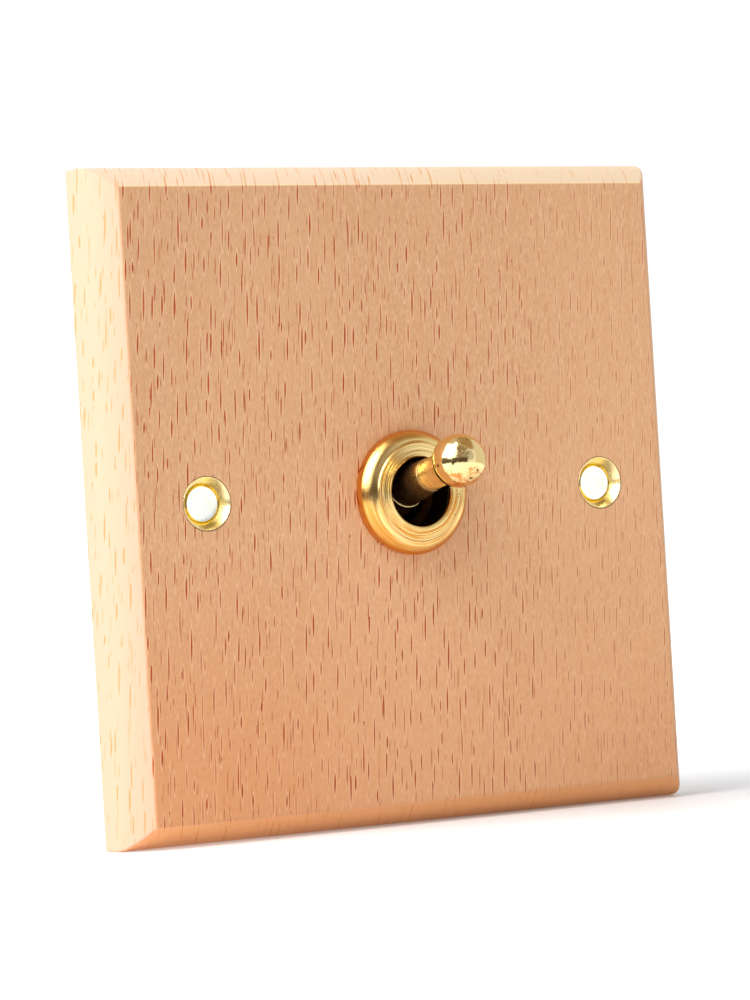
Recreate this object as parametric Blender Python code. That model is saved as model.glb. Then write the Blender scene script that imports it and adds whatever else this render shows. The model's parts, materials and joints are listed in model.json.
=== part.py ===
"""Toggle wall switch: beech plate, brass bezel and lever, and the switch body behind it.

Row frame: origin at the centre of the plate's back face, +X right, +Y into the wall, +Z up.
Sizes below are in millimetres; MM turns them into metres when a mesh is made.
"""

import math

import bmesh
import bpy
from mathutils import Matrix, Vector

MM = 0.001

# Clearances between neighbouring pieces
GAP = 0.25
SEAT_GAP = 0.1

# Face plate
PLATE_SIZE = 86.0
PLATE_DEPTH = 8.6
EDGE_INSET = 3.0
EDGE_DEPTH = 5.6
EDGE_LEAD = 2.6
EDGE_EASE = 0.25
EDGE_STEPS = 8
POCKET_WIDTH = 46.0
POCKET_HEIGHT = 58.0
POCKET_DEPTH = 4.0
POCKET_CORNER = 8.0
FIXING_PITCH = 60.3
FRONT = -PLATE_DEPTH

# Fixings: pressed-in cups, countersunk screws and the caps that hide them
CUP_RADIUS = 3.45
CUP_DEPTH = 4.4
CUP_MOUTH_RADIUS = 3.2
CUP_THROAT_RADIUS = 2.65
CAP_RADIUS = 2.4
CAP_RIM = 0.16
CAP_SINK = 1.3
CAP_THICKNESS = 0.7
SCREW_RADIUS = 1.65
SCREW_HEAD_RADIUS = 2.35
SCREW_HEAD_DEPTH = 1.2
SCREW_END = 22.0
STUD_RADIUS = 0.6
STUD_LENGTH = 1.6
SLOT_WIDTH = 0.8
SCREW_TIP_TAPER = 0.8
SCREW_TAP_DEPTH = 2.2

# Bezel ring, heights measured out from the front of the wood
BEZEL_RADIUS = 8.1
BEZEL_WALL = 1.05
BEZEL_RIDGE_RADIUS = 6.36
BEZEL_RIDGE_HEIGHT = 2.88
BEZEL_LIP_RADIUS = 4.82
BEZEL_MOUTH_RADIUS = 4.45
BEZEL_HEIGHT = 3.1

# Bushing
BARREL_RADIUS = 5.95
BARREL_BORE_RADIUS = 4.75
BARREL_STAND = 1.7
BARREL_CHAMFER = 0.3
FLANGE_RADIUS = 7.6
FLANGE_START = 0.3
FLANGE_END = 1.3
SPIGOT_RADIUS = 5.6
SPIGOT_END = 2.9
SEAT_HALF_LENGTH = 1.9
SEAT_CLEARANCE = 0.3

# Lock washer
TOOTH_RADIUS = 8.9
TOOTH_ROOT_RADIUS = 8.1

# Lever, distances measured out from its pivot
PIVOT_Y = FRONT + 4.5
LEVER_TILT = math.radians(12.0)
BALL_RADIUS = 3.65
TAIL_RADIUS = 2.2
TAIL_LENGTH = 10.0
TAIL_BORE_RADIUS = 1.5
TAIL_BORE_END = 3.6
TAIL_CHAMFER = 0.2
COLLAR_RADIUS = 2.85
COLLAR_END = 3.9
CONE_BASE_RADIUS = 2.65
CONE_TOP_RADIUS = 2.18
CONE_TOP = 10.3
CONE_STEP = 0.12
NECK_RADIUS = 2.1
NECK_END = 14.3
NECK_STUD_RADIUS = 1.1
NECK_STUD_END = 16.4
KNOB_BORE_END = 16.8
KNOB_RADIUS = 3.47
KNOB_CENTRE = 17.2
PIN_RADIUS = 0.75

# Plunger and its spring, inside the lever's tail
TIP_RADIUS = 1.25
TIP_CENTRE = 11.35
PLUNGER_TOP = 6.9
PLUNGER_BORE_RADIUS = 0.6
PLUNGER_BORE_DEPTH = 1.6
SPRING_COIL_RADIUS = 1.0
SPRING_WIRE_RADIUS = 0.17
SPRING_TURNS = 5

# Rocker and contacts
ROCKER_Y = 12.5
ROCKER_RATIO = 2.0 / 3.0
ROCKER_REST = LEVER_TILT * ROCKER_RATIO
ROCKER_WIDTH = 5.0
ROCKER_SHOULDER = 5.4
ROCKER_HALF_LENGTH = 4.5
STRIP_HALF_LENGTH = 8.2
CONTACT_OFFSET = 6.8
CONTACT_RADIUS = 1.4
RIVET_RADIUS = 0.65
MOVING_CONTACT_FACE = 0.8
EDGE_CLEARANCE = 0.12
EDGE_TAPER = 0.8

# Switch body
BODY_HALF_WIDTH = 9.5
BODY_HALF_HEIGHT = 13.5
BODY_START = 2.9
BODY_END = 18.3
BODY_WALL = 1.8
FLOOR_THICKNESS = 2.0
BARRIER_END = 25.0
BARRIER_Z = 4.5
BARRIER_HALF_WIDTH = 8.0
BARRIER_HALF_THICKNESS = 0.6
FRAME_START = 1.6
FRAME_THICKNESS = 1.0
FRAME_LEG_THICKNESS = 0.8
FRAME_LEG_HALF = 6.0
FRAME_FOOT_HALF = 3.0
FRAME_FOOT_INNER = 8.25

# Terminals
STRIP_THICKNESS = 0.8
TERMINAL_PAD_Y = 15.3
TERMINAL_PAD_INNER = 4.9
TERMINAL_LEG_Z = 8.8
TERMINAL_END = 26.0
CLAMP_SCREW_Y = 22.6
CLAMP_SCREW_RADIUS = 1.4
CLAMP_SCREW_HEAD = (2.3, 1.6)
CLAMP_SCREW_LENGTH = 4.2
CLAMP_HALF_WIDTH = 2.5

# Earth tag
EARTH_TAG_Y = -0.65
EARTH_TAG_THICKNESS = 0.6
EARTH_TAG_RADIUS = 8.2
EARTH_SCREW_Z = -17.0
EARTH_LUG_END = -20.2

FINE = 48
MEDIUM = 32
COARSE = 20

COLOURS = {
    "beech": ((0.72, 0.43, 0.24), 0.0, 0.55),
    "brass_polished": ((0.83, 0.62, 0.25), 1.0, 0.14),
    "brass_turned": ((0.80, 0.57, 0.22), 1.0, 0.25),
    "brass_plain": ((0.72, 0.52, 0.22), 1.0, 0.38),
    "steel": ((0.62, 0.62, 0.60), 1.0, 0.35),
    "nylon": ((0.86, 0.85, 0.80), 0.0, 0.45),
    "phenolic": ((0.09, 0.05, 0.035), 0.0, 0.4),
    "copper": ((0.78, 0.40, 0.25), 1.0, 0.35),
    "silver": ((0.86, 0.86, 0.84), 1.0, 0.3),
}


def clear_scene():
    for obj in list(bpy.data.objects):
        bpy.data.objects.remove(obj, do_unlink=True)


def make_material(node, look):
    """A Principled material of the node's own, in one of the named looks."""
    colour, metallic, roughness = COLOURS[look]
    material = bpy.data.materials.new(f"{node}_material")
    material.use_nodes = True
    shader = material.node_tree.nodes["Principled BSDF"]
    shader.inputs["Base Color"].default_value = (*colour, 1.0)
    shader.inputs["Metallic"].default_value = metallic
    shader.inputs["Roughness"].default_value = roughness
    return material


def finish_mesh(bm, name, look, smooth_angle=None):
    """Turn a bmesh drawn in millimetres into a named object in metres."""
    bmesh.ops.recalc_face_normals(bm, faces=bm.faces)
    bmesh.ops.scale(bm, vec=(MM, MM, MM), verts=bm.verts)
    mesh = bpy.data.meshes.new(name)
    bm.to_mesh(mesh)
    bm.free()
    if smooth_angle:
        mesh.shade_smooth()
        mesh.set_sharp_from_angle(angle=math.radians(smooth_angle))
    obj = bpy.data.objects.new(name, mesh)
    bpy.context.collection.objects.link(obj)
    if look:
        mesh.materials.append(make_material(name, look))
    return obj


def place(obj, at=(0.0, 0.0, 0.0), turn=(0.0, 0.0, 0.0), parent=None):
    obj.location = Vector(at) * MM
    obj.rotation_euler = turn
    obj.parent = parent
    return obj


def pivot_empty(name, at, tilt):
    """An empty on a joint's axis, tilted about X, that carries the moving pieces."""
    empty = bpy.data.objects.new(name, None)
    empty.empty_display_size = 0.005
    bpy.context.collection.objects.link(empty)
    return place(empty, at, (tilt, 0.0, 0.0))


def turned(name, profile, look, segments=MEDIUM, hollow=False):
    """A piece turned about Y. The profile holds (y, radius) points; a hollow one closes on itself."""
    bm = bmesh.new()
    rings = []
    for y, radius in profile:
        if radius <= 0.0:
            rings.append([bm.verts.new((0.0, y, 0.0))])
            continue
        angles = [2.0 * math.pi * i / segments for i in range(segments)]
        rings.append([bm.verts.new((radius * math.cos(a), y, radius * math.sin(a))) for a in angles])
    pairs = list(zip(rings, rings[1:]))
    if hollow:
        pairs.append((rings[-1], rings[0]))
    for first, second in pairs:
        skin_between(bm, first, second)
    return finish_mesh(bm, name, look, smooth_angle=32.0)


def skin_between(bm, first, second):
    """Join two rings of points, either of which may be a single point on the axis."""
    count = max(len(first), len(second))
    for i in range(count):
        j = (i + 1) % count
        if len(first) == 1:
            bm.faces.new((first[0], second[i], second[j]))
        elif len(second) == 1:
            bm.faces.new((first[i], first[j], second[0]))
        else:
            bm.faces.new((first[i], first[j], second[j], second[i]))


def arc(centre, radius, start, end, steps):
    """Points (y, r) on an arc about a (y, r) centre; angles in degrees from +Y towards +R."""
    points = []
    for i in range(steps + 1):
        angle = math.radians(start + (end - start) * i / steps)
        points.append((centre[0] + radius * math.cos(angle), centre[1] + radius * math.sin(angle)))
    return points


def block(name, low, high, look=None):
    """A box between two corners."""
    bm = bmesh.new()
    bmesh.ops.create_cube(bm, size=1.0)
    size = [b - a for a, b in zip(low, high)]
    middle = [(a + b) / 2.0 for a, b in zip(low, high)]
    bmesh.ops.scale(bm, vec=size, verts=bm.verts)
    bmesh.ops.translate(bm, vec=middle, verts=bm.verts)
    return finish_mesh(bm, name, look)


def prism(name, outline, low_x, high_x, look=None):
    """An outline of (y, z) points extruded along X."""
    bm = bmesh.new()
    base = bm.faces.new([bm.verts.new((low_x, y, z)) for y, z in outline])
    grown = bmesh.ops.extrude_face_region(bm, geom=[base])
    moved = [v for v in grown["geom"] if isinstance(v, bmesh.types.BMVert)]
    bmesh.ops.translate(bm, vec=(high_x - low_x, 0.0, 0.0), verts=moved)
    return finish_mesh(bm, name, look, smooth_angle=32.0)


def round_edge(radius):
    """A plain round outline for ring_plate: the same radius at every angle."""
    def outline(_angle):
        return radius
    return outline


def ring_plate(name, outer_radius, inner_radius, low_y, high_y, look, segments=FINE):
    """A flat washer or nut whose outside radius is a function of the angle."""
    bm = bmesh.new()
    loops = []
    bore = round_edge(inner_radius)
    for radius, y in ((outer_radius, low_y), (outer_radius, high_y), (bore, high_y), (bore, low_y)):
        angles = [2.0 * math.pi * i / segments for i in range(segments)]
        loops.append([bm.verts.new((radius(a) * math.cos(a), y, radius(a) * math.sin(a))) for a in angles])
    for first, second in zip(loops, loops[1:] + loops[:1]):
        skin_between(bm, first, second)
    return finish_mesh(bm, name, look, smooth_angle=20.0)


def cylinder_cutter(name, radius, low_y, high_y, segments=MEDIUM):
    profile = [(low_y, 0.0), (low_y, radius), (high_y, radius), (high_y, 0.0)]
    return turned(name, profile, None, segments)


def hide_cutter(cutter):
    cutter.hide_render = True
    cutter.display_type = "WIRE"


def combine(target, cutter, operation="DIFFERENCE"):
    """Cut a piece with another, or join one to it, and hide the tool."""
    modifier = target.modifiers.new(f"{operation.lower()}_{cutter.name}", "BOOLEAN")
    modifier.object = cutter
    modifier.operation = operation
    modifier.solver = "EXACT"
    hide_cutter(cutter)


# Plate and its fixings


def eased_edge():
    """(half size, y) pairs from the wall to the front: a square side, then a curve to the arris."""
    half = PLATE_SIZE / 2.0
    points = [(half, 0.0)]
    for i in range(EDGE_STEPS + 1):
        t = 1.0 - i / EDGE_STEPS
        inset = EDGE_INSET * (1.0 - t) ** 2 + 2.0 * t * (1.0 - t) * EDGE_EASE
        depth = 2.0 * t * (1.0 - t) * EDGE_LEAD + t * t * EDGE_DEPTH
        points.append((half - inset, FRONT + depth))
    return points


def pocket_cutter():
    """A routed pocket with round corners."""
    bm = bmesh.new()
    half = (POCKET_WIDTH / 2.0 - POCKET_CORNER, POCKET_HEIGHT / 2.0 - POCKET_CORNER)
    outline = []
    for corner, (sx, sz) in enumerate(((1, 1), (-1, 1), (-1, -1), (1, -1))):
        for i in range(5):
            angle = math.radians(90.0 * corner + 22.5 * i)
            x = sx * half[0] + POCKET_CORNER * math.cos(angle)
            z = sz * half[1] + POCKET_CORNER * math.sin(angle)
            outline.append((x, z))
    base = bm.faces.new([bm.verts.new((x, -POCKET_DEPTH, z)) for x, z in outline])
    grown = bmesh.ops.extrude_face_region(bm, geom=[base])
    moved = [v for v in grown["geom"] if isinstance(v, bmesh.types.BMVert)]
    bmesh.ops.translate(bm, vec=(0.0, POCKET_DEPTH + 1.0, 0.0), verts=moved)
    return finish_mesh(bm, "pocket_cutter", None)


def make_face_plate():
    bm = bmesh.new()
    rings = []
    for half, y in eased_edge():
        corners = ((-half, -half), (half, -half), (half, half), (-half, half))
        rings.append([bm.verts.new((x, y, z)) for x, z in corners])
    for first, second in zip(rings, rings[1:]):
        skin_between(bm, first, second)
    bm.faces.new(rings[0])
    bm.faces.new(rings[-1])
    plate = finish_mesh(bm, "face_plate", "beech", smooth_angle=32.0)
    combine(plate, pocket_cutter())
    barrel_hole = cylinder_cutter("barrel_hole_cutter", BARREL_RADIUS + GAP, FRONT - 1.0, 1.0, FINE)
    combine(plate, barrel_hole)
    for side, x in fixing_places():
        combine(plate, place(turned(f"fixing_hole_{side}", fixing_hole_profile(), None), (x, 0.0, 0.0)))


def fixing_hole_profile():
    """A counterbore for the cup, then a clearance hole for the screw."""
    counterbore_end = cup_end() + GAP
    return [
        (FRONT - 1.0, 0.0),
        (FRONT - 1.0, CUP_RADIUS + SEAT_GAP),
        (counterbore_end, CUP_RADIUS + SEAT_GAP),
        (counterbore_end, SCREW_RADIUS + GAP),
        (1.0, SCREW_RADIUS + GAP),
        (1.0, 0.0),
    ]


def fixing_places():
    return (("left", -FIXING_PITCH / 2.0), ("right", FIXING_PITCH / 2.0))


def cup_end():
    return FRONT + CUP_DEPTH


def screw_head_top():
    return FRONT + CAP_SINK + CAP_THICKNESS + GAP


def make_screw_cup(side, x):
    seat = screw_head_top() + SCREW_HEAD_DEPTH
    profile = [
        (FRONT, CUP_RADIUS),
        (FRONT, CUP_MOUTH_RADIUS),
        (FRONT + CAP_SINK, CUP_THROAT_RADIUS),
        (screw_head_top() + GAP, CUP_THROAT_RADIUS),
        (seat + GAP, SCREW_RADIUS + GAP),
        (cup_end(), SCREW_RADIUS + GAP),
        (cup_end(), CUP_RADIUS),
    ]
    place(turned(f"screw_cup_{side}", profile, "brass_polished", hollow=True), (x, 0.0, 0.0))


def make_screw_cap(side, x):
    """A flat disc with a stud that goes into the tapped head of the fixing screw."""
    face = FRONT + CAP_SINK
    stud_end = face + CAP_THICKNESS + STUD_LENGTH
    profile = [
        (face, 0.0),
        (face, CAP_RADIUS - CAP_RIM),
        (face + CAP_RIM, CAP_RADIUS),
        (face + CAP_THICKNESS, CAP_RADIUS),
        (face + CAP_THICKNESS, STUD_RADIUS),
        (stud_end, STUD_RADIUS),
        (stud_end, 0.0),
    ]
    place(turned(f"screw_cap_{side}", profile, "brass_polished"), (x, 0.0, 0.0))


def make_fixing_screw(side, x):
    top = screw_head_top()
    hole = STUD_RADIUS + GAP
    hole_end = top + SCREW_TAP_DEPTH
    profile = [
        (hole_end, 0.0),
        (hole_end, hole),
        (top, hole),
        (top, SCREW_HEAD_RADIUS),
        (top + SCREW_HEAD_DEPTH, SCREW_RADIUS),
        (SCREW_END - 1.0, SCREW_RADIUS),
        (SCREW_END, SCREW_RADIUS - SCREW_TIP_TAPER),
        (SCREW_END, 0.0),
    ]
    screw = place(turned(f"fixing_screw_{side}", profile, "brass_plain", 24), (x, 0.0, 0.0))
    slot_half = SLOT_WIDTH / 2.0
    reach = SCREW_HEAD_RADIUS + 1.0
    slot = block(f"slot_cutter_{side}", (-reach, top - 1.0, -slot_half), (reach, top + 0.5, slot_half))
    combine(screw, place(slot, (x, 0.0, 0.0)))


# Bezel, bushing and the stack that clamps the plate


def swept(start, radius, first, last, steps):
    """(r, height) points of a round flank whose normal leans from first to last degrees off the axis."""
    first, last = math.radians(first), math.radians(last)
    centre = (start[0] - radius * math.sin(first), start[1] - radius * math.cos(first))
    leans = [first + (last - first) * (i + 1) / steps for i in range(steps)]
    return [(centre[0] + radius * math.sin(a), centre[1] + radius * math.cos(a)) for a in leans]


def make_bezel_ring():
    """Ring nut: upright wall, round flank, ridge, turned face and a rolled mouth."""
    ridge = BEZEL_RIDGE_RADIUS
    seat = BARREL_STAND + GAP
    wall_top = (BEZEL_RADIUS, BEZEL_WALL)
    corner = swept(wall_top, 0.5, 90.0, 61.0, 2)
    flank = swept(corner[-1], 3.6, 61.0, 43.0, 4)
    shoulder = swept(flank[-1], 1.4, 43.0, 16.0, 4)
    outline = [(BARREL_RADIUS + GAP, SEAT_GAP), (BEZEL_RADIUS, SEAT_GAP), wall_top]
    outline += [*corner, *flank, *shoulder]
    outline += [(ridge + 0.02, 2.66), (ridge, 2.8), (ridge - 0.08, BEZEL_RIDGE_HEIGHT)]
    lip = BEZEL_LIP_RADIUS - BEZEL_MOUTH_RADIUS
    mouth = swept((BEZEL_LIP_RADIUS, BEZEL_HEIGHT), lip, 0.0, -90.0, 4)
    outline += [(BEZEL_LIP_RADIUS, BEZEL_HEIGHT), *mouth, (BEZEL_MOUTH_RADIUS, seat + 0.4)]
    outline += [(BARREL_BORE_RADIUS, seat), (BARREL_RADIUS + GAP, seat)]
    profile = [(FRONT - height, radius) for radius, height in outline]
    turned("bezel_ring", profile, "brass_turned", FINE, hollow=True)


def make_bushing():
    seat_front = PIVOT_Y - SEAT_HALF_LENGTH
    seat_back = PIVOT_Y + SEAT_HALF_LENGTH
    seat_radius = BALL_RADIUS + SEAT_CLEARANCE
    taper = BARREL_BORE_RADIUS - seat_radius
    profile = [
        (FRONT - BARREL_STAND, BARREL_BORE_RADIUS),
        (FRONT - BARREL_STAND, BARREL_RADIUS - BARREL_CHAMFER),
        (FRONT - BARREL_STAND + BARREL_CHAMFER, BARREL_RADIUS),
        (FLANGE_START, BARREL_RADIUS),
        (FLANGE_START, FLANGE_RADIUS),
        (FLANGE_END, FLANGE_RADIUS),
        (FLANGE_END, SPIGOT_RADIUS),
        (SPIGOT_END, SPIGOT_RADIUS),
        (SPIGOT_END, BARREL_BORE_RADIUS),
        (seat_back + taper, BARREL_BORE_RADIUS),
        (seat_back, seat_radius),
        (seat_front, seat_radius),
        (seat_front - taper, BARREL_BORE_RADIUS),
    ]
    bushing = turned("bushing", profile, "brass_plain", 40, hollow=True)
    cutter = cylinder_cutter("bushing_pin_cutter", PIN_RADIUS + GAP, -FLANGE_RADIUS, FLANGE_RADIUS, COARSE)
    combine(bushing, place(cutter, (0.0, PIVOT_Y, 0.0), (0.0, 0.0, math.pi / 2.0)))


def hexagon(across_flats):
    """The outside radius of a hexagon, as a function of the angle."""
    def radius(angle):
        from_flat = (angle + math.pi / 6.0) % (math.pi / 3.0) - math.pi / 6.0
        return across_flats / 2.0 / math.cos(from_flat)
    return radius


def toothed(angle):
    """The outside radius of a lock washer with twelve teeth."""
    step = round(angle / (2.0 * math.pi) * FINE)
    return TOOTH_RADIUS if step % 4 < 2 else TOOTH_ROOT_RADIUS


def make_clamp_stack():
    bore = BARREL_RADIUS + GAP
    washer_start = -POCKET_DEPTH + GAP
    washer_end = washer_start + 0.6
    ring_plate("lock_washer", toothed, bore, washer_start, washer_end, "steel")
    nut_start = washer_end + GAP
    ring_plate("lock_nut", hexagon(17.0), bore, nut_start, nut_start + 2.0, "brass_plain")


def make_earth_tag():
    back = EARTH_TAG_Y + EARTH_TAG_THICKNESS
    ring = round_edge(EARTH_TAG_RADIUS)
    tag = ring_plate("earth_tag", ring, BARREL_RADIUS + GAP, EARTH_TAG_Y, back, "brass_plain")
    lug = block("earth_lug", (-2.75, EARTH_TAG_Y, EARTH_LUG_END), (2.75, back, -7.2))
    combine(tag, lug, "UNION")
    hole = cylinder_cutter("earth_hole", 1.8, EARTH_TAG_Y - 1.0, back + 1.0, COARSE)
    combine(tag, place(hole, (0.0, 0.0, EARTH_SCREW_Z)))


def slotted_screw(name, head, shank, look):
    """A cheese-head screw along +Y; head and shank are (radius, length) pairs."""
    head_radius, head_length = head
    shank_radius, shank_length = shank
    profile = [
        (-head_length, 0.0),
        (-head_length, head_radius - 0.25),
        (-head_length + 0.25, head_radius),
        (0.0, head_radius),
        (0.0, shank_radius),
        (shank_length - 0.4, shank_radius),
        (shank_length, shank_radius - 0.4),
        (shank_length, 0.0),
    ]
    screw = turned(name, profile, look, 24)
    half = SLOT_WIDTH / 2.0
    reach = head_radius + 1.0
    slot = block(f"{name}_slot", (-reach, -head_length - 1.0, -half), (reach, -head_length + 0.7, half))
    combine(screw, slot)
    slot.parent = screw
    return screw


def make_earth_screw():
    head_seat = EARTH_TAG_Y + EARTH_TAG_THICKNESS + GAP
    screw = slotted_screw("earth_screw", (2.6, 1.8), (1.5, 3.6), "brass_plain")
    place(screw, (0.0, head_seat, EARTH_SCREW_Z), (0.0, 0.0, math.pi))
    nut_end = EARTH_TAG_Y - GAP
    nut = ring_plate("earth_nut", hexagon(5.5), 1.5 + GAP, nut_end - 1.8, nut_end, "brass_plain", 24)
    place(nut, (0.0, 0.0, EARTH_SCREW_Z))


# Lever and what rides in it


def make_lever(axis):
    """Turned lever: bored tail, pivot ball, collar, long taper, neck and the knob's stud."""
    ball_front = math.degrees(math.asin(COLLAR_RADIUS / BALL_RADIUS))
    ball_back = math.degrees(math.asin(TAIL_RADIUS / BALL_RADIUS))
    ball = arc((0.0, 0.0), BALL_RADIUS, ball_back, 180.0 - ball_front, 10)
    profile = [
        (TAIL_BORE_END, 0.0),
        (TAIL_BORE_END, TAIL_BORE_RADIUS),
        (TAIL_LENGTH, TAIL_BORE_RADIUS),
        (TAIL_LENGTH, TAIL_RADIUS - TAIL_CHAMFER),
        (TAIL_LENGTH - TAIL_CHAMFER, TAIL_RADIUS),
        *ball,
        (-COLLAR_END + 0.15, COLLAR_RADIUS),
        (-COLLAR_END, COLLAR_RADIUS - 0.1),
        (-COLLAR_END, CONE_BASE_RADIUS),
        (-CONE_TOP, CONE_TOP_RADIUS),
        (-CONE_TOP - CONE_STEP, NECK_RADIUS),
        (-NECK_END, NECK_RADIUS),
        (-NECK_END, NECK_STUD_RADIUS),
        (-NECK_STUD_END, NECK_STUD_RADIUS),
        (-NECK_STUD_END, 0.0),
    ]
    lever = place(turned("lever", profile, "brass_turned", 36), parent=axis)
    reach = BALL_RADIUS + 1.0
    cutter = cylinder_cutter("lever_pin_cutter", PIN_RADIUS + GAP, -reach, reach, COARSE)
    combine(lever, place(cutter, turn=(0.0, 0.0, math.pi / 2.0), parent=axis))


def make_lever_knob(axis):
    flat = math.sqrt(KNOB_RADIUS ** 2 - (NECK_RADIUS + 0.2) ** 2)
    start = math.degrees(math.acos(flat / KNOB_RADIUS))
    surface = arc((-KNOB_CENTRE, 0.0), KNOB_RADIUS, start, 180.0, 14)[:-1]
    bore = NECK_STUD_RADIUS + GAP
    profile = [
        (-KNOB_BORE_END, 0.0),
        (-KNOB_BORE_END, bore),
        (-KNOB_CENTRE + flat, bore),
        *surface,
        (-KNOB_CENTRE - KNOB_RADIUS, 0.0),
    ]
    place(turned("lever_knob", profile, "brass_polished", 36), parent=axis)


def make_plunger(axis):
    tip = arc((TIP_CENTRE, 0.0), TIP_RADIUS, 0.0, 90.0, 5)[1:]
    bore_end = PLUNGER_TOP - PLUNGER_BORE_DEPTH
    profile = [
        (TIP_CENTRE + TIP_RADIUS, 0.0),
        *tip,
        (PLUNGER_TOP, TIP_RADIUS),
        (PLUNGER_TOP, PLUNGER_BORE_RADIUS),
        (bore_end, PLUNGER_BORE_RADIUS),
        (bore_end, 0.0),
    ]
    place(turned("plunger", profile, "nylon", COARSE), parent=axis)


def make_plunger_spring(axis):
    """Coil between the bottom of the tail's bore and the plunger's shoulder."""
    start = TAIL_BORE_END + GAP + SPRING_WIRE_RADIUS
    end = PLUNGER_TOP - GAP - SPRING_WIRE_RADIUS
    steps = SPRING_TURNS * 12
    curve = bpy.data.curves.new("plunger_spring", "CURVE")
    curve.dimensions = "3D"
    curve.bevel_depth = SPRING_WIRE_RADIUS * MM
    curve.bevel_resolution = 1
    curve.use_fill_caps = True
    spline = curve.splines.new("POLY")
    spline.points.add(steps)
    for i, point in enumerate(spline.points):
        angle = 2.0 * math.pi * SPRING_TURNS * i / steps
        y = start + (end - start) * i / steps
        x = SPRING_COIL_RADIUS * math.cos(angle)
        z = SPRING_COIL_RADIUS * math.sin(angle)
        point.co = (x * MM, y * MM, z * MM, 1.0)
    curve.materials.append(make_material("plunger_spring", "steel"))
    spring = bpy.data.objects.new("plunger_spring", curve)
    bpy.context.collection.objects.link(spring)
    place(spring, parent=axis)


def make_pivot_pin():
    half = BARREL_RADIUS - BARREL_CHAMFER
    profile = [(-half, 0.0), (-half, PIN_RADIUS), (half, PIN_RADIUS), (half, 0.0)]
    place(turned("pivot_pin", profile, "steel", COARSE), (0.0, PIVOT_Y, 0.0), (0.0, 0.0, math.pi / 2.0))


# Rocker and moving contacts, in the rocker's own frame


def plunger_path(lever_angle):
    """Where the plunger tip's centre is, in the rocker's frame, at a lever angle from the middle."""
    y = TIP_CENTRE * math.cos(lever_angle) - (ROCKER_Y - PIVOT_Y)
    z = TIP_CENTRE * math.sin(lever_angle)
    turn = Matrix.Rotation(lever_angle * ROCKER_RATIO, 2)
    return turn @ Vector((y, z))


def make_rocker(axis):
    """Carrier with a round groove that follows the plunger's tip."""
    middle = plunger_path(0.0)
    end = plunger_path(LEVER_TILT)
    rise = middle.x - end.x
    path_radius = (end.y ** 2 + rise ** 2) / (2.0 * rise)
    groove_centre = middle.x - path_radius
    groove_radius = path_radius + TIP_RADIUS + GAP
    spread = math.degrees(math.acos((-ROCKER_SHOULDER - groove_centre) / groove_radius))
    groove = arc((groove_centre, 0.0), groove_radius, spread, -spread, 12)
    back = -0.95
    outline = [
        (back, -ROCKER_HALF_LENGTH),
        (back, ROCKER_HALF_LENGTH),
        (-ROCKER_SHOULDER, ROCKER_HALF_LENGTH),
        *groove,
        (-ROCKER_SHOULDER, -ROCKER_HALF_LENGTH),
    ]
    half = ROCKER_WIDTH / 2.0
    place(prism("rocker", outline, -half, half, "nylon"), parent=axis)


def make_contact_strip(axis):
    half = ROCKER_WIDTH / 2.0
    low = (-half, -0.7, -STRIP_HALF_LENGTH)
    high = (half, -0.1, STRIP_HALF_LENGTH)
    strip = place(block("contact_strip", low, high, "copper"), parent=axis)
    for label, z in (("upper", CONTACT_OFFSET), ("lower", -CONTACT_OFFSET)):
        hole = cylinder_cutter(f"strip_hole_{label}", RIVET_RADIUS + GAP, -2.0, 1.0, COARSE)
        combine(strip, place(hole, (0.0, 0.0, z), parent=axis))


def rivet_profile(face, head_end, shank_end, tail_end):
    """A contact rivet from its flat face through the strip to its peened tail."""
    return [
        (face, 0.0),
        (face, CONTACT_RADIUS - 0.2),
        (head_end + 0.4 * (face - head_end), CONTACT_RADIUS),
        (head_end, CONTACT_RADIUS),
        (head_end, RIVET_RADIUS),
        (shank_end, RIVET_RADIUS),
        (shank_end, RIVET_RADIUS + 0.4),
        (tail_end, RIVET_RADIUS + 0.4),
        (tail_end, 0.0),
    ]


def make_moving_contacts(axis):
    for label, side in (("upper", 1.0), ("lower", -1.0)):
        profile = rivet_profile(MOVING_CONTACT_FACE, 0.1, -0.9, -1.2)
        contact = turned(f"moving_contact_{label}", profile, "silver", COARSE)
        place(contact, (0.0, 0.0, side * CONTACT_OFFSET), parent=axis)


# Fixed contacts, terminals and the body


def closed_contact():
    """Height (y, z) at which the pressed contact's face comes to rest, below the axis."""
    face = Vector((MOVING_CONTACT_FACE, -CONTACT_OFFSET))
    return Matrix.Rotation(ROCKER_REST, 2) @ face


def make_fixed_contacts():
    face = closed_contact()
    top = ROCKER_Y + face.x + GAP
    head_end = TERMINAL_PAD_Y - 0.2
    shank_end = TERMINAL_PAD_Y + 0.6
    for label, side in (("upper", 1.0), ("lower", -1.0)):
        profile = [
            (top, 0.0),
            (top + 0.08, 0.6),
            (top + 0.3, CONTACT_RADIUS - 0.1),
            (head_end, CONTACT_RADIUS),
            (head_end, RIVET_RADIUS),
            (shank_end, RIVET_RADIUS),
            (shank_end, 0.0),
        ]
        contact = turned(f"fixed_contact_{label}", profile, "silver", COARSE)
        place(contact, (0.0, 0.0, -side * face.y))


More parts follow.
